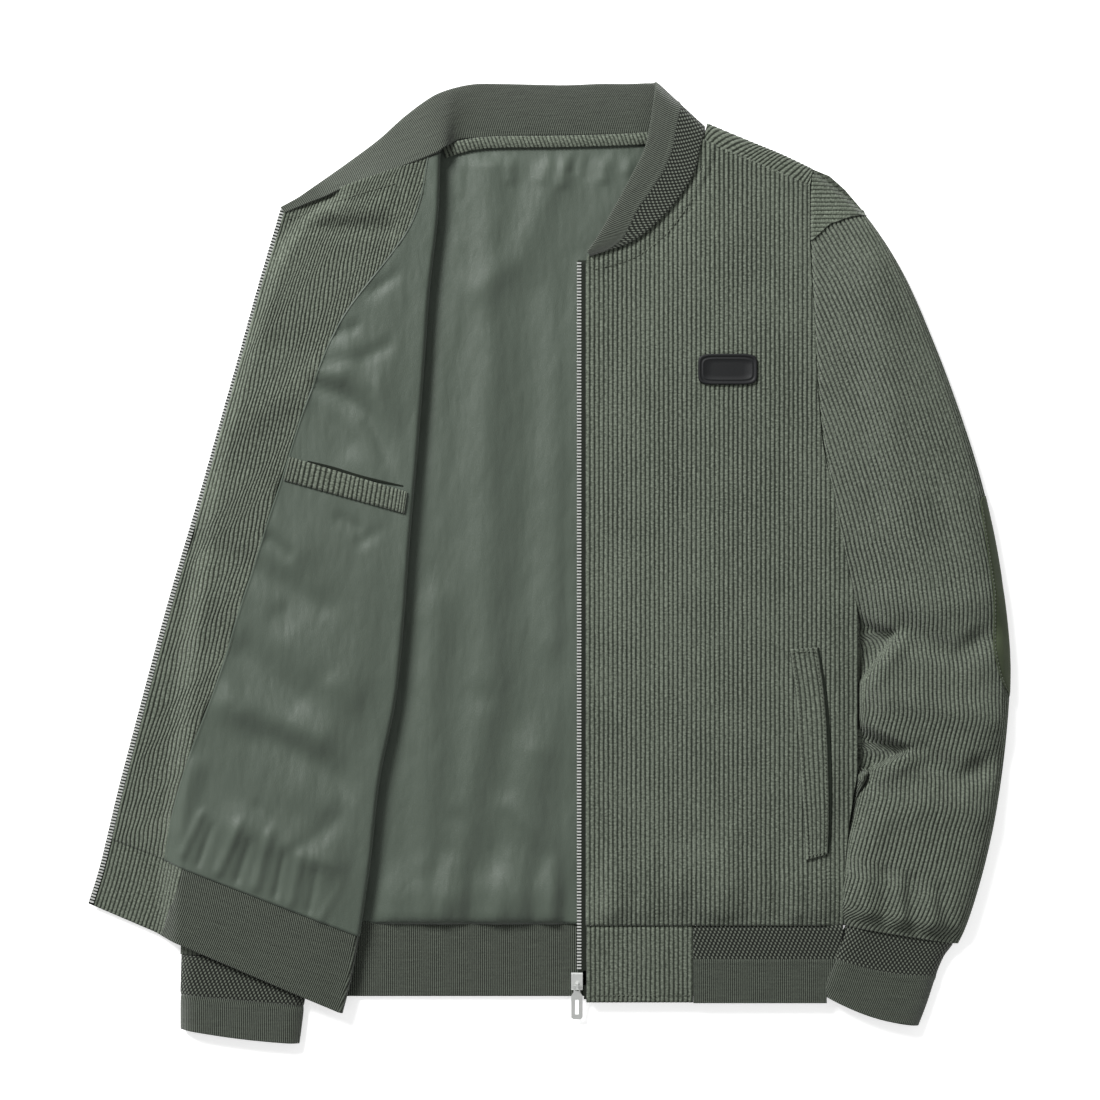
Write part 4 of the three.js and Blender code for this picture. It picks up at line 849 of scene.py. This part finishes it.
# Left hem: corduroy tab at the zip and the rib band beside it, honeycomb above, plain ribs below the ridge.
tab_offsets = wale_columns(84.0, FRONT_PITCH)
tab_offsets = tab_offsets[tab_offsets <= 84.0]
tab_y = np.linspace(HEM_SEAM_Y + 1.5, -343.0, 30)
x, y = np.meshgrid(LEFT_EDGE_X + 0.5 + tab_offsets, tab_y)
left_tab_mid = np.stack([x, y, np.full(x.shape, HEM_Z + 0.1)], -1)
tab_count = (x - LEFT_EDGE_X - 0.5) / FRONT_PITCH
tab_relief = wale_relief(tab_count, 0.8) - 0.4 * np.exp(-((y + 337.5) / 0.9) ** 2)
tab_relief = tab_relief - 1.6 * ease((y - HEM_SEAM_Y + 2.5) / 3)
left_tab = cloth_object("left_hem_tab_corduroy", *walls(left_tab_mid, TAB_WALL, tab_relief),
                        np.stack([tab_count, y / 10], -1), corduroy, "corduroy")
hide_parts("left_hem_tab")
stitch_row("left_tab_stitches", raised([[33, -337.5], [72, -337.5], [111, -337.5]],
                                       level_at(HEM_Z + TAB_WALL / 2 - 0.1)), 3.4)

left_rib_rows = [
    [113, HEM_SEAM_Y + 1.5, 230, HEM_SEAM_Y + 1.5], [113, -294.5, 229, -294.5], [113, -306, 226, -306],
    [113, -318, 221, -318], [113, -328, 217.5, -328], [113, -337, 217, -337], [113, -343.5, 217, -343.5],
]
left_band_mid = laid_points(left_rib_rows, level_at(HEM_Z), 120, 50)
ridge_y = -311.0
band_relief = 0.5 * np.exp(-((left_band_mid[..., 1] - ridge_y)
                             / 1.6) ** 2) - 0.3 * (left_band_mid[..., 1] > ridge_y)
band_relief = band_relief - 1.6 * ease((left_band_mid[..., 1] - HEM_SEAM_Y + 2.5) / 3)
honey = (left_band_mid[..., 1] > ridge_y + 1.2).astype(float)
left_band = cloth_object("left_hem_band", *walls(left_band_mid, RIB, band_relief),
                         np.stack([left_band_mid[..., 0], left_band_mid[..., 1]], -1), rib_knit, "rib_knit",
                         knit=(honey, np.zeros_like(honey)))
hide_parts("left_hem_rib")

# Front pocket: a long welt of corduroy beside its slit, its wales in line with the front's.
pocket_rows = [
    [187.5, -67.5, 209.5, -66], [192.5, -105, 215.5, -109.5], [195.5, -155.5, 218, -162.5],
    [198.5, -197, 218.5, -200], [200, -231.5, 217.5, -226.5],
]


def on_front(lift):
    return lambda x, y: front_z(x, y) + lift


r = row_at(pocket_rows, np.linspace(0, 1, 90))
u = np.linspace(0, 1, 42)[None, :]
x, y = mix(r[:, 0:1], r[:, 2:3], u), mix(r[:, 1:2], r[:, 3:4], u)
pocket = np.stack([x, y, on_front(SHELL / 2 + FACING / 2 + 2 * PLY)(x, y)], -1)
pocket_count = np.broadcast_to(u * 6.0, x.shape)
pocket_relief = wale_relief(pocket_count, 0.8) - 0.6 * (np.abs(u - 0.5) * 2) ** 10
pocket_welt = cloth_object("front_pocket_welt", *walls(pocket, FACING, pocket_relief),
                           np.stack([pocket_count, y / 10], -1), corduroy, "corduroy")
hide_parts("left_pocket_welt")
welt_top = SHELL / 2 + FACING + 2 * PLY - 0.1
outer_line = [[bx - 2.2, by - 2] for _, _, bx, by in pocket_rows[:-1]] + [[215.4, -222]]
inner_line = [[ax + 2.2, ay - 2] for ax, ay, _, _ in pocket_rows[:-1]] + [[202.4, -227]]
stitch_row("pocket_outer_stitches", raised(outer_line, on_front(welt_top)), 3.2)
stitch_row("pocket_inner_stitches", raised(inner_line, on_front(welt_top)), 3.2)
stitch_row("pocket_top_stitches",
           raised([[189, -70], [198, -69.4], [207.5, -69]], on_front(welt_top + 0.2)), 3.0)
stitch_row("pocket_foot_stitches",
           raised([[201, -228.4], [209, -226.6], [216, -224.6]], on_front(welt_top + 0.2)), 3.0)

# Painted shadow in the front pocket's slit: a thin dark sheet, like the inner one.
pocket_slit_rows = [[209.5, -66, 210.5, -66], [215.7, -109.5, 217.4, -109.5], [218.3, -162.5, 220.4, -162.5],
                    [218.7, -200, 220.4, -200], [217.7, -226.5, 218.6, -226.5]]
slit = laid_points(pocket_slit_rows, on_front(SHELL / 2 + 0.3), 5, 90)
front_slit_shadow = cloth_object("front_pocket_slit_shadow", *walls(slit, 0.5), length_uv(slit, 1, 1), painted_slit_shadow, "satin")

# Chest badge: moulded black rubber with a raised rim and a sunk plain field, sewn on through its edge.
rubber, tree, shader = new_material("moulded_rubber")
place = add_node(tree, "TexCoord", {}, {}).outputs["Object"]
moulded = add_node(tree, "TexNoise", {}, {"Vector": place, "Scale": 2200.0, "Detail": 2.0}).outputs[0]
tone = add_node(tree, "Mix", {"data_type": "RGBA"},
                {0: moulded, 6: to_linear("#070809"), 7: to_linear("#101214")}).outputs[2]
tree.links.new(tone, shader.inputs["Base Color"])
bump = add_node(tree, "Bump", {}, {"Height": moulded, "Strength": 0.5, "Distance": 0.0002}).outputs[0]
set_inputs(tree, shader, {"Normal": bump, "Roughness": 0.6, "Specular IOR Level": 0.3})
BADGE_X, BADGE_Y = 139.5, 150.5
# Rings of the badge from its base to the middle. Columns: half width, half height, height above the front.
badge_rings = [[23.0, 12.0, 0.9], [23.0, 12.0, 2.3], [22.5, 11.5, 2.75], [21.4, 10.4, 2.75], [20.9, 9.9, 2.2],
               [20.6, 9.6, 2.05], [19.8, 8.8, 2.05], [19.5, 8.5, 2.3], [18.9, 7.9, 2.3], [18.6, 7.6, 2.05],
               [12.0, 4.9, 2.05], [5.0, 2.0, 2.05], [0.4, 0.2, 2.05], [0.1, 0.1, 2.05]]
angle = np.linspace(0, 2 * math.pi, 96, endpoint=False)
corner_shape = 2 / 5.5
ring_x = np.sign(np.cos(angle)) * np.abs(np.cos(angle)) ** corner_shape
ring_y = np.sign(np.sin(angle)) * np.abs(np.sin(angle)) ** corner_shape
rings = []
for half_w, half_h, lift in badge_rings:
    x = BADGE_X + ring_x * half_w
    y = BADGE_Y + ring_y * half_h
    rings.append(np.stack([x, y, front_z(x, y) + lift], -1))
upper = np.array(rings)
lower = upper.copy()
lower[..., 2] = front_z(upper[..., 0], upper[..., 1]) + 0.85
badge = cloth_object("chest_badge", upper, lower, upper[..., :2], rubber, "rubber", True)
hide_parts("chest_patch")

# Left shoulder: the yoke strip rolls over the shoulder from the forward seam, its wales on the slant.
yoke_rows = [[120.5, 328.2, 124, 343], [150, 315.7, 160, 328], [175, 305.1, 183, 318.5],
             [203.5, 293.0, 206.3, 307.4]]
r = row_at(yoke_rows, np.linspace(0, 1, 150))
u = np.linspace(0, 1, 30)[None, :]
out = np.sin(math.pi / 2 * u)
x, y = mix(r[:, 0:1], r[:, 2:3], out), mix(r[:, 1:2], r[:, 3:4], out)
fall = np.maximum(np.cos(math.pi / 2 * u), 0) ** 0.7
yoke = np.stack([x, y, mix(1.2, front_z(r[:, 0:1], r[:, 1:2]), fall)], -1)
yoke_count = (np.linspace(0, 1, 150)[:, None] * 84 - u * 9) / 3.5
yoke_uv = np.stack([yoke_count, u * 2 * np.ones_like(x)], -1)
left_yoke = cloth_object("left_shoulder_yoke", *walls(yoke, SHELL, wale_relief(yoke_count, 1.0)), yoke_uv,
                         corduroy,
                         "corduroy")
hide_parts("left_yoke")

# Left sleeve: one corduroy tube, its wales in line with the arm. It creases deeply at the elbow and is gathered
# into the cuff.
left_sleeve_rows = [
    [240.4, -40, 205.3, 307, 15.5], [242, -62, 249, 270.5, 12], [241.5, -84, 280.5, 220.5, 8],
    [241.5, -99.5, 300.5, 173.5, 4.5], [241, -111, 321, 119, 2], [241.5, -123, 340.5, 56.5, 0],
    [245, -142.5, 351.5, -2, 0], [250, -164, 357.5, -37, 0], [241.5, -181.5, 361, -84, 0],
    [235.5, -205, 358.5, -130.5, 0], [230.5, -224, 353, -177.5, 0], [227.5, -244, 344.5, -224, 0],
    [226, -267, 331, -272, 0], [230, -283, 320, -297.5, 0],
]
left_outer, left_inner = dense_edge(left_sleeve_rows, 2), dense_edge(left_sleeve_rows, 0)
k = np.linspace(0, 1, 21)
armhole = np.stack([mix(240.4, 205.3, k) - 15.5 * np.sin(math.pi * k), mix(-40, 307, k)], -1).tolist()
left_sleeve_folds = [
    [-4.5, 10, [276, -54], [316, -72], [332, -62]], [-2.5, 10, [334, -60], [348, -52]],
    [3.2, 12, [264, -106], [300, -114], [346, -122]], [-5, 10, [290, -148], [318, -168], [334, -160]],
    [-2.5, 10, [336, -158], [350, -150]], [2.2, 12, [262, -200], [290, -188], [340, -196]],
    [2.4, 12, [262, -28], [300, -34], [336, -26]], [-3, 6, [262, -240], [261, -276]],
    [-3, 6, [281, -246], [284, -284]], [-3, 6, [304, -254], [313, -288]], [2, 5, [296, -258], [298, -284]],
    [2, 5, [272, -250], [273, -280]], [1.8, 5, [246, -246], [247, -270]], [-1.5, 12, [268, -210],
                                                                           [256, -236]],
    [1.8, 14, [250, 230], [268, 120]], [-1.8, 12, [236, 150], [256, 40]], [-1.4, 10, [300, 60], [318, -16]],
]
# Deep creases at the inside of the elbow: the cloth sinks under a line that slopes down from the upper corner to
# the apex and comes out over a sharp lip. Columns: upper corner x, y, apex x, y, lower corner x, y, depth.
elbow_creases = [[236, -36, 274, -51, 237, -103, 13.0], [236, -120, 287, -142.5, 228, -173, 15.0]]


def below_line(x, y, ax, ay, bx, by):
    """Distance of (x, y) from the line through two points, positive on its lower side."""
    return ((y - ay) * (bx - ax) - (x - ax) * (by - ay)) / -math.hypot(bx - ax, by - ay)


def creases(x, y):
    """Height of the deep creases, with the rounded lip below each."""
    z = np.zeros(np.shape(x))
    for ux, uy, px, py, lx, ly, depth in elbow_creases:
        from_upper = below_line(x, y, ux, uy, px, py)
        from_lip = -below_line(x, y, lx, ly, px, py)
        inside = ease(from_upper / 13) * ease((from_lip + 0.6) / 2.6)
        beside = 1 - ease((x - px - 4) / 14)
        lip = np.exp(-((from_lip + 6) / 7) ** 2) * ease((from_upper + 4) / 12) * beside
        z += 3.2 * lip - depth * inside
    return z


cuff_line = [[230, -283], [320, -297.5]]
LEFT_SLEEVE_H = 23.0
ARMHOLE_H = 13.0
LEFT_CUFF_H = 12.5


def left_sleeve_z(x, y):
    top = mix(ARMHOLE_H, LEFT_SLEEVE_H, ease(distance_to(armhole, x, y) / 60))
    at_cuff = ease(distance_to(cuff_line, x, y) / 16)
    low = mix(LEFT_CUFF_H + 1.8, top, at_cuff)
    rounded = round_side(distance_to(left_outer, x, y), 34) * round_side(distance_to(left_inner, x, y), 24)
    laid = mix(SIDE_Z, low, rounded) + rounded * folds(left_sleeve_folds, x, y) * mix(0.4, 1.0, at_cuff)
    return np.maximum(laid + rounded ** 0.5 * creases(x, y), 4.0)


# Rows square to the arm. Columns: outer edge x, y, inner edge or armhole x, y, and the offset of the outer edge
# from the first whole wale.
arm_rows = [
    [207.5, 305.5, 203.6, 300, 34], [219.5, 301.5, 203.4, 288, 27], [231.5, 290.5, 203.2, 274, 18],
    [249, 270.5, 203, 249, 9], [266.5, 245.5, 203.6, 216.5, 3], [280.5, 220.5, 205.4, 185, 1],
    [290.5, 197, 206.8, 158, 0], [300.5, 173.5, 208.6, 130.5, 0], [310, 150, 211.5, 103.5, 0],
    [319.5, 123, 215.6, 75, 0], [330.5, 91.5, 221, 47, 0], [340.5, 56.5, 227, 17, 0], [348.5, 21.5, 232, -8,
                                                                                       0],
    [353.5, -10, 236.6, -31, 0], [357.5, -37, 241, -49, 0], [360, -62, 241.8, -70, 0], [361, -84, 241.5,
                                                                                        -88, 0],
    [360, -107, 241.5, -104, 0], [358.1, -134, 242, -124, 0], [354.9, -161, 243.2, -147, 0],
    [351, -188, 241, -171, 0], [346.1, -215, 237.5, -194, 0], [339.6, -241, 232.5, -217, 0],
    [333, -265, 228.4, -241, 0], [326.5, -284, 226.4, -263, 0], [320, -297.5, 230, -283, 0],
]
SLEEVE_PITCH = 3.35
arm_steps = 180


def arm_sections(t):
    """Dense outline of the sleeve's upper face for each row, from the outer edge over the top to the inner edge."""
    reach = 0.035 * ease(np.minimum(t, 1 - t) / 0.07)
    r = sum(row_at(arm_rows, t + k * reach) for k in (-1.0, -0.5, 0.0, 0.5, 1.0)) / 5
    outer_xy, inner_xy = r[:, None, 0:2], r[:, None, 2:4]
    width = np.linalg.norm(inner_xy - outer_xy, axis=2)
    s = np.linspace(0, 1, 420)[None, :]
    s = 0.5 - 0.5 * np.cos(math.pi * s)
    xy = outer_xy + (inner_xy - outer_xy) * s[..., None]
    x, y = xy[..., 0], xy[..., 1]
    outer_rise = np.minimum(2 * s ** 0.25, 1)
    inner_rise = np.minimum((1 - s) * width / 3.0, 1) ** 0.5
    z = mix(SIDE_Z, left_sleeve_z(x, y), outer_rise * inner_rise)
    path = np.stack([x, y, z], -1)
    run = np.concatenate([np.zeros((len(t), 1)),
                          np.cumsum(np.linalg.norm(np.diff(path, axis=1), axis=2), 1)], 1)
    return path, run, r[:, 4]


def on_arm(t, run_wanted):
    """Points on the sleeve's upper face at given runs from its outer edge, one row of runs for each t."""
    path, run, _ = arm_sections(t)
    return np.array([[np.interp(w, run[j], path[j, :, c]) for c in range(3)] for j,
                     w in enumerate(run_wanted)]
                    ).transpose(0, 2, 1)


ELBOW_START, ELBOW_END = 0.56, 0.8
arm_t = np.interp(np.arange(arm_steps), [0, 60, 138, arm_steps - 1], [0.0, ELBOW_START, ELBOW_END, 1.0])
path, run, first_wale = arm_sections(arm_t)
whole = run[:, -1]
arm_offsets = wale_columns(float((whole + first_wale).max()) + 1, SLEEVE_PITCH)
arm_w = kept_between(arm_offsets, first_wale, first_wale + whole)
over = on_arm(arm_t, arm_w - first_wale[:, None])
back_share = np.linspace(0, 1, 26)[1:-1][None, :]
inner_end, outer_end = over[:, -1:, :], over[:, :1, :]
beneath_xy = inner_end[..., :2] + (outer_end - inner_end)[...,
                                                          :2] * (0.5 - 0.5
                                                                 * np.cos(math.pi * back_share))[..., None]
beneath_z = mix(SIDE_Z, 0.05, np.minimum(np.sin(math.pi * back_share) / 0.6, 1) ** 0.5)
beneath = np.concatenate([beneath_xy, np.broadcast_to(beneath_z, beneath_xy.shape[:2])[..., None]], -1)
sleeve_outer = np.concatenate([over, beneath], axis=1)
arm_count = arm_w / SLEEVE_PITCH
squeezed = np.gradient(arm_w, axis=1) < 0.06
sleeve_relief = np.where(squeezed, -0.1, wale_relief(arm_count, 1.25))
sleeve_relief = sleeve_relief * ease((arm_w - first_wale[:, None]) / 6)
sleeve_relief = np.concatenate([sleeve_relief, np.zeros((arm_steps, beneath.shape[1]))], axis=1)
outward = grid_normals(sleeve_outer, around=True)
outward = np.where(outward[:, 80:81, 2:3] < 0, -outward, outward)
upper = sleeve_outer + outward * sleeve_relief[..., None]
lower = sleeve_outer - outward * SHELL
count = np.concatenate([arm_count, arm_count[:, -1:] + back_share * 34], axis=1)
sleeve_uv = np.stack([count, np.broadcast_to(arm_t[:, None] * 64, count.shape)], -1)
left_sleeve = cloth_object("left_sleeve_tube", upper, lower, sleeve_uv, corduroy, "corduroy", True)
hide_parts("left_sleeve")

# Sleeve cap: a three-cornered corduroy piece at the shoulder, its wales level from the armhole to the outer edge.
CAP_PITCH = 3.3
cap_bound = [[206.3, 307.0], [219.0, 301.2], [231.3, 290.3], [248.8, 270.6], [237, 269.6], [218.8, 263.3],
             [205, 250.8]]
cap_levels = wale_columns(56.0, CAP_PITCH)
cap_levels = cap_levels[cap_levels <= 56.0]
y = 306.9 - cap_levels[:, None] * np.ones((1, 40))
x = mix(203.4, x_on(cap_bound, y), np.linspace(0, 1, 40)[None, :])
from_outside = distance_to(left_outer, x, y)
outer_rise = np.minimum(2 * (from_outside / 70) ** 0.25, 1)
inner_rise = np.minimum((x - 203.4 + 0.4) / 3.0, 1) ** 0.5
cap_z = mix(SIDE_Z, left_sleeve_z(x, y), outer_rise * inner_rise)
cap_count = np.broadcast_to(cap_levels[:, None] / CAP_PITCH, x.shape)
cap_lift = 0.6 + (0.9 + wale_relief(cap_count, 0.9)) * ease(from_outside / 5)
upper = np.stack([x, y, cap_z + cap_lift], -1)
lower = np.stack([x, y, cap_z + 0.25], -1)
cap = cloth_object("left_sleeve_cap_corduroy", upper, lower, np.stack([cap_count, x / 10], -1), corduroy,
                   "corduroy")
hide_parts("left_sleeve_cap")

# Elbow patch: olive suede, a long oval sewn over the outer edge of the sleeve with a close row of stitches.
suede, tree, shader = new_material("olive_suede")
place = add_node(tree, "TexCoord", {}, {}).outputs["Object"]
nap = add_node(tree, "TexNoise", {}, {"Vector": place, "Scale": 900.0, "Detail": 4.0}).outputs[0]
brushed = add_node(tree, "TexNoise", {}, {"Vector": place, "Scale": 40.0, "Detail": 3.0}).outputs[0]
tone = add_node(tree, "Mix", {"data_type": "RGBA"},
                {0: brushed, 6: to_linear("#2f3728"), 7: to_linear("#434b37")}).outputs[2]
tree.links.new(tone, shader.inputs["Base Color"])
bump = add_node(tree, "Bump", {}, {"Height": nap, "Strength": 0.6, "Distance": 0.0003}).outputs[0]
set_inputs(tree, shader, {"Normal": bump, "Roughness": 0.95, "Specular IOR Level": 0.15,
                          "Sheen Weight": 0.08})
# Inner line of the patch in plan.
patch_line = [[351.5, 57.5], [339.5, 56.5], [335.5, 47], [337.5, 30], [340.5, 11], [343.2, -8], [345.2, -22],
              [345.4, -44], [345.2, -67], [347.4, -78], [350.2, -88], [354.5, -97], [360.5, -105]]
patch_t = np.linspace(0.445, 0.675, 130)
path, run, _ = arm_sections(patch_t)
passed = path[..., 0] < x_on(patch_line, path[..., 1])
patch_reach = np.maximum(run[np.arange(len(patch_t)), passed.argmax(axis=1)], 0.8)
patch_w = np.linspace(0, 1, 30)[None, :] * patch_reach[:, None]
patch_face = on_arm(patch_t, patch_w)
patch_normal = grid_normals(patch_face)
patch_normal *= np.sign(patch_normal[..., 2].mean())
patch_edge = np.linspace(0, 1, 30)[None, :]
patch_lift = 0.4 + 0.85 * ease(patch_edge * patch_reach[:, None] / 6) * ease(patch_reach[:, None] / 8)
patch_lift = patch_lift - 0.4 * np.exp(-((1 - patch_edge) * patch_reach[:, None] / 1.2 - 1.5) ** 2)
patch = cloth_object("left_elbow_suede", patch_face + patch_normal * patch_lift[..., None],
                     patch_face + patch_normal * 0.3, length_uv(patch_face, 1, 1), suede, "suede")
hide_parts("left_elbow_patch")
patch_rim = (patch_face + patch_normal * patch_lift[..., None])[4:-4, -3]
stitch_row("elbow_patch_stitches", patch_rim, 3.0)

left_cuff_rows = [
    [233.5, -279.5, 315.5, -292.5, 3], [231.5, -284.2, 316, -298, 3], [224.5, -297, 309, -308, 3.5],
    [220.5, -307.5, 303, -322, 4],
    [215.5, -319, 299, -334, 4], [212.5, -329, 295, -346, 4], [213.5, -337, 289, -361.5, 4.5],
]
left_cuff_outer, left_cuff_inner = dense_edge(left_cuff_rows, 2), dense_edge(left_cuff_rows, 0)


def left_cuff_z(x, y):
    side = np.minimum(distance_to(left_cuff_outer, x, y), distance_to(left_cuff_inner, x, y))
    return mix(SIDE_Z, LEFT_CUFF_H, round_side(side, 16))


left_cuff = cuff_object("left_cuff_knit", left_cuff_rows, left_cuff_z, 0.52)
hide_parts("left_cuff")

# Collar: one rib band, inner face up behind the neck and on the opened side, folded over at the left shoulder so
# that its outer face with the honeycomb shows. Columns: neck seam x, y, z, free edge x, y, z.
collar_rows = [
    [-206, 273, 5.4, -209.5, 277.5, 4.6], [-190, 279.5, 6.2, -196.5, 284.5, 4.5],
    [-177, 284.6, 6.6, -187, 291, 4.1], [-162.5, 290, 11.2, -176, 298.5, 3.6],
    [-135.5, 300, 14, -155, 313.5, 3], [-112, 308.5, 14, -132.5, 330.5, 3], [-96.5, 314.5, 14, -113, 348, 3],
    [-86, 319, 14, -93.5, 362, 6], [-81, 323.5, 12, -82, 368, 5], [-75.5, 328, 5.5, -68, 372.5, 2.6],
    [-68, 331, 2.6, -55, 374.5, 1.8],
    [-53.5, 332, 2.0, -38, 374.5, 1.6], [-22, 333.5, 1.6, -14.5, 374, 1.6], [9, 334, 1.6, 13, 373.5, 1.6],
    [40, 334.5, 1.6, 40, 374.5, 1.6], [71.5, 335.5, 1.6, 62, 374.5, 1.6], [96.5, 337, 1.6, 75.5, 375, 1.6],
    [113.5, 339, 2.6, 81.5, 375, 2.4], [120.5, 340, 6.2, 83.5, 374.5, 5.4], [121, 333.5, 10.6, 83, 368, 9.4],
    [117.5, 320, 11.8, 81, 354.5, 10.4], [114, 305, 11.9, 78.5, 338, 10.6], [105.5, 289.5, 11.6, 74, 320.5,
                                                                             10.6],
    [91, 271.5, 11.2, 65, 302.5, 10.4], [76, 257.5, 10.8, 56.5, 286.5, 10.2], [62.5, 249, 10.2, 47, 269.5,
                                                                               9.8],
    [47, 243.5, 9.6, 37.5, 253, 9.4], [33, 239, 9.2, 30, 242.5, 9.0],
]
collar_steps = 280
r = row_at(collar_rows, np.linspace(0, 1, collar_steps))
u = np.linspace(0, 1, 40)[None, :, None]
collar_mid = mix(r[:, None, 0:3], r[:, None, 3:6], u)
collar_normal = grid_normals(collar_mid)
place_v = np.linspace(0, 1, collar_steps)[:, None]
honeycomb_reach = 0.5 * ease((0.985 - place_v) / 0.12)
honey = (u[..., 0] < honeycomb_reach).astype(float) * np.ones((collar_steps, 1))
back_up_is_a = collar_normal[collar_steps // 2, 15, 2] > 0
knit = (np.zeros_like(honey), honey) if back_up_is_a else (honey, np.zeros_like(honey))
half = RIB / 2 * (0.35 + 0.65 * np.sqrt(1 - u ** 8)) + 0.35 * u ** 4
ridge = 0.55 * np.exp(-((u - honeycomb_reach[..., None] - 0.03)
                        / 0.03) ** 2) * (honeycomb_reach[..., None] > 0.05)
over_a, over_b = (0.0, ridge) if back_up_is_a else (ridge, 0.0)
side_a, side_b = collar_mid + collar_normal * (half + over_a), collar_mid - collar_normal * (half + over_b)
collar = cloth_object("collar", side_a, side_b, length_uv(collar_mid, 1.0, 1.0)[..., ::-1], rib_knit,
                      "rib_knit",
                      knit=knit)
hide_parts("collar")

# Zip: woven tape with nickel teeth of 2.5 mm pitch. Each tooth is a small rounded bar clamped on the tape's edge.
nickel, tree, shader = new_material("worn_nickel")
place = add_node(tree, "TexCoord", {}, {}).outputs["Object"]
wear = add_node(tree, "TexNoise", {}, {"Vector": place, "Scale": 500.0, "Detail": 3.0}).outputs[0]
rough = add_node(tree, "MapRange", {}, {"Value": wear, "To Min": 0.22, "To Max": 0.42}).outputs[0]
set_inputs(tree, shader, {"Roughness": rough, "Base Color": to_linear("#e4e6e3"), "Metallic": 0.76})

zip_tape, tree, shader = new_material("zip_tape")
tape_uv = add_node(tree, "UVMap", {"uv_map": "cloth"}, {}).outputs[0]
twill = add_node(tree, "TexWave", {"bands_direction": "DIAGONAL"},
                 {"Vector": tape_uv, "Scale": 0.5}).outputs[1]
tone = add_node(tree, "Mix", {"data_type": "RGBA"},
                {0: twill, 6: to_linear("#171a16"), 7: to_linear("#2a2e28")}).outputs[2]
set_inputs(tree, shader, {"Base Color": tone, "Roughness": 0.9, "Specular IOR Level": 0.1})

TAPE_Z = 5.9
tape_rows = [[22.8, 236, 33, 236], [22.8, 40, 33, 40], [22.8, -150, 33, -150], [22.8, -318, 33, -318],
             [27.6, -319, 33, -319], [27.6, -341, 33, -341]]
tape = laid_points(tape_rows, level_at(TAPE_Z), 6, 120)
left_tape = cloth_object("left_zip_tape_woven", *walls(tape, 0.8), length_uv(tape, 1, 1), zip_tape,
                         "zip_tape")
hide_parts("left_zip_tape")

bpy.ops.object.select_all(action="DESELECT")
bpy.ops.mesh.primitive_cube_add(size=1.0)
tooth = bpy.context.object
tooth.name = "tooth_pattern"
tooth.dimensions = (3.7, 1.3, 1.9)
bpy.ops.object.transform_apply(location=False, rotation=False, scale=True)
bpy.ops.object.mode_set(mode="EDIT")
bpy.ops.mesh.select_all(action="SELECT")
bpy.ops.mesh.bevel(offset=0.3, segments=1)
bpy.ops.object.mode_set(mode="OBJECT")
tooth_points = np.array([v.co[:] for v in tooth.data.vertices])
tooth_faces = [list(p.vertices) for p in tooth.data.polygons]
bpy.data.objects.remove(tooth)


def chain_of_teeth(name, line, pitch, node):
    """Teeth along a line of points in millimetres, each square to the line."""
    line = np.asarray(line, float)
    run = np.concatenate([[0], np.cumsum(np.linalg.norm(np.diff(line, axis=0), axis=1))])
    places = np.arange(pitch / 2, run[-1], pitch)
    spots = np.stack([np.interp(places, run, line[:, c]) for c in range(3)], -1)
    ahead = np.stack([np.interp(places + 1, run, line[:, c]) - np.interp(places - 1, run, line[:, c])
                      for c in range(3)], -1)
    ahead /= np.linalg.norm(ahead, axis=1, keepdims=True)
    points, faces = [], []
    for spot, direction in zip(spots, ahead):
        side = np.array([-direction[1], direction[0], 0.0])
        side /= np.linalg.norm(side)
        up = np.cross(side, direction)
        start = len(points)
        points += (spot + tooth_points @ np.array([side, direction, -up])).tolist()
        faces += [[start + i for i in face] for face in tooth_faces]
    mesh = bpy.data.meshes.new(name)
    mesh.from_pydata((np.array(points) * MM).tolist(), [], faces)
    mesh.materials.append(nickel)
    mesh.update()
    made = bpy.data.objects.new(name, mesh)
    scene.collection.objects.link(made)
    bpy.ops.object.select_all(action="DESELECT")
    bpy.context.view_layer.objects.active = made
    made.select_set(True)
    bpy.ops.object.mode_set(mode="EDIT")
    bpy.ops.mesh.select_all(action="SELECT")
    bpy.ops.mesh.normals_make_consistent(inside=False)
    bpy.ops.object.mode_set(mode="OBJECT")
    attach(made, "jacket")
    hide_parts(node)
    return made


chain_of_teeth("left_zip_teeth", [[24.0, 235, TAPE_Z], [24.0, -318, TAPE_Z]], 2.48, "left_zip_chain")
r = row_at(right_front_rows + right_hem_rows[1:], np.linspace(0, 1, 80))
toward_fold = (r[:, 2:4] - r[:, 0:2]) / np.linalg.norm(r[:, 2:4] - r[:, 0:2], axis=1, keepdims=True)
right_edge = np.concatenate([r[:, 0:2] + toward_fold * 1.7, np.full((80, 1), EDGE_Z + OVER_FACING)], 1)
chain_of_teeth("right_zip_teeth", right_edge, 2.48, "right_zip_chain")
across = np.array([-0.6, 0.5, 2.2, 4.2])[None, :, None]
strip = np.concatenate([r[:, None, 0:2] + toward_fold[:, None, :] * across,
                        np.full((80, 4, 1), EDGE_Z + 1.6)], -1)
right_tape = cloth_object("right_zip_tape_woven", *walls(strip, 0.9), length_uv(strip, 1, 1), zip_tape,
                          "zip_tape")

# Slider and pull tab: die-cast and plated. Their solids have the right shape, so they only get their finish.
for node in ("zip_slider", "zip_pull"):
    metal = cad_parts[node]
    metal.data.materials.clear()
    metal.data.materials.append(nickel)
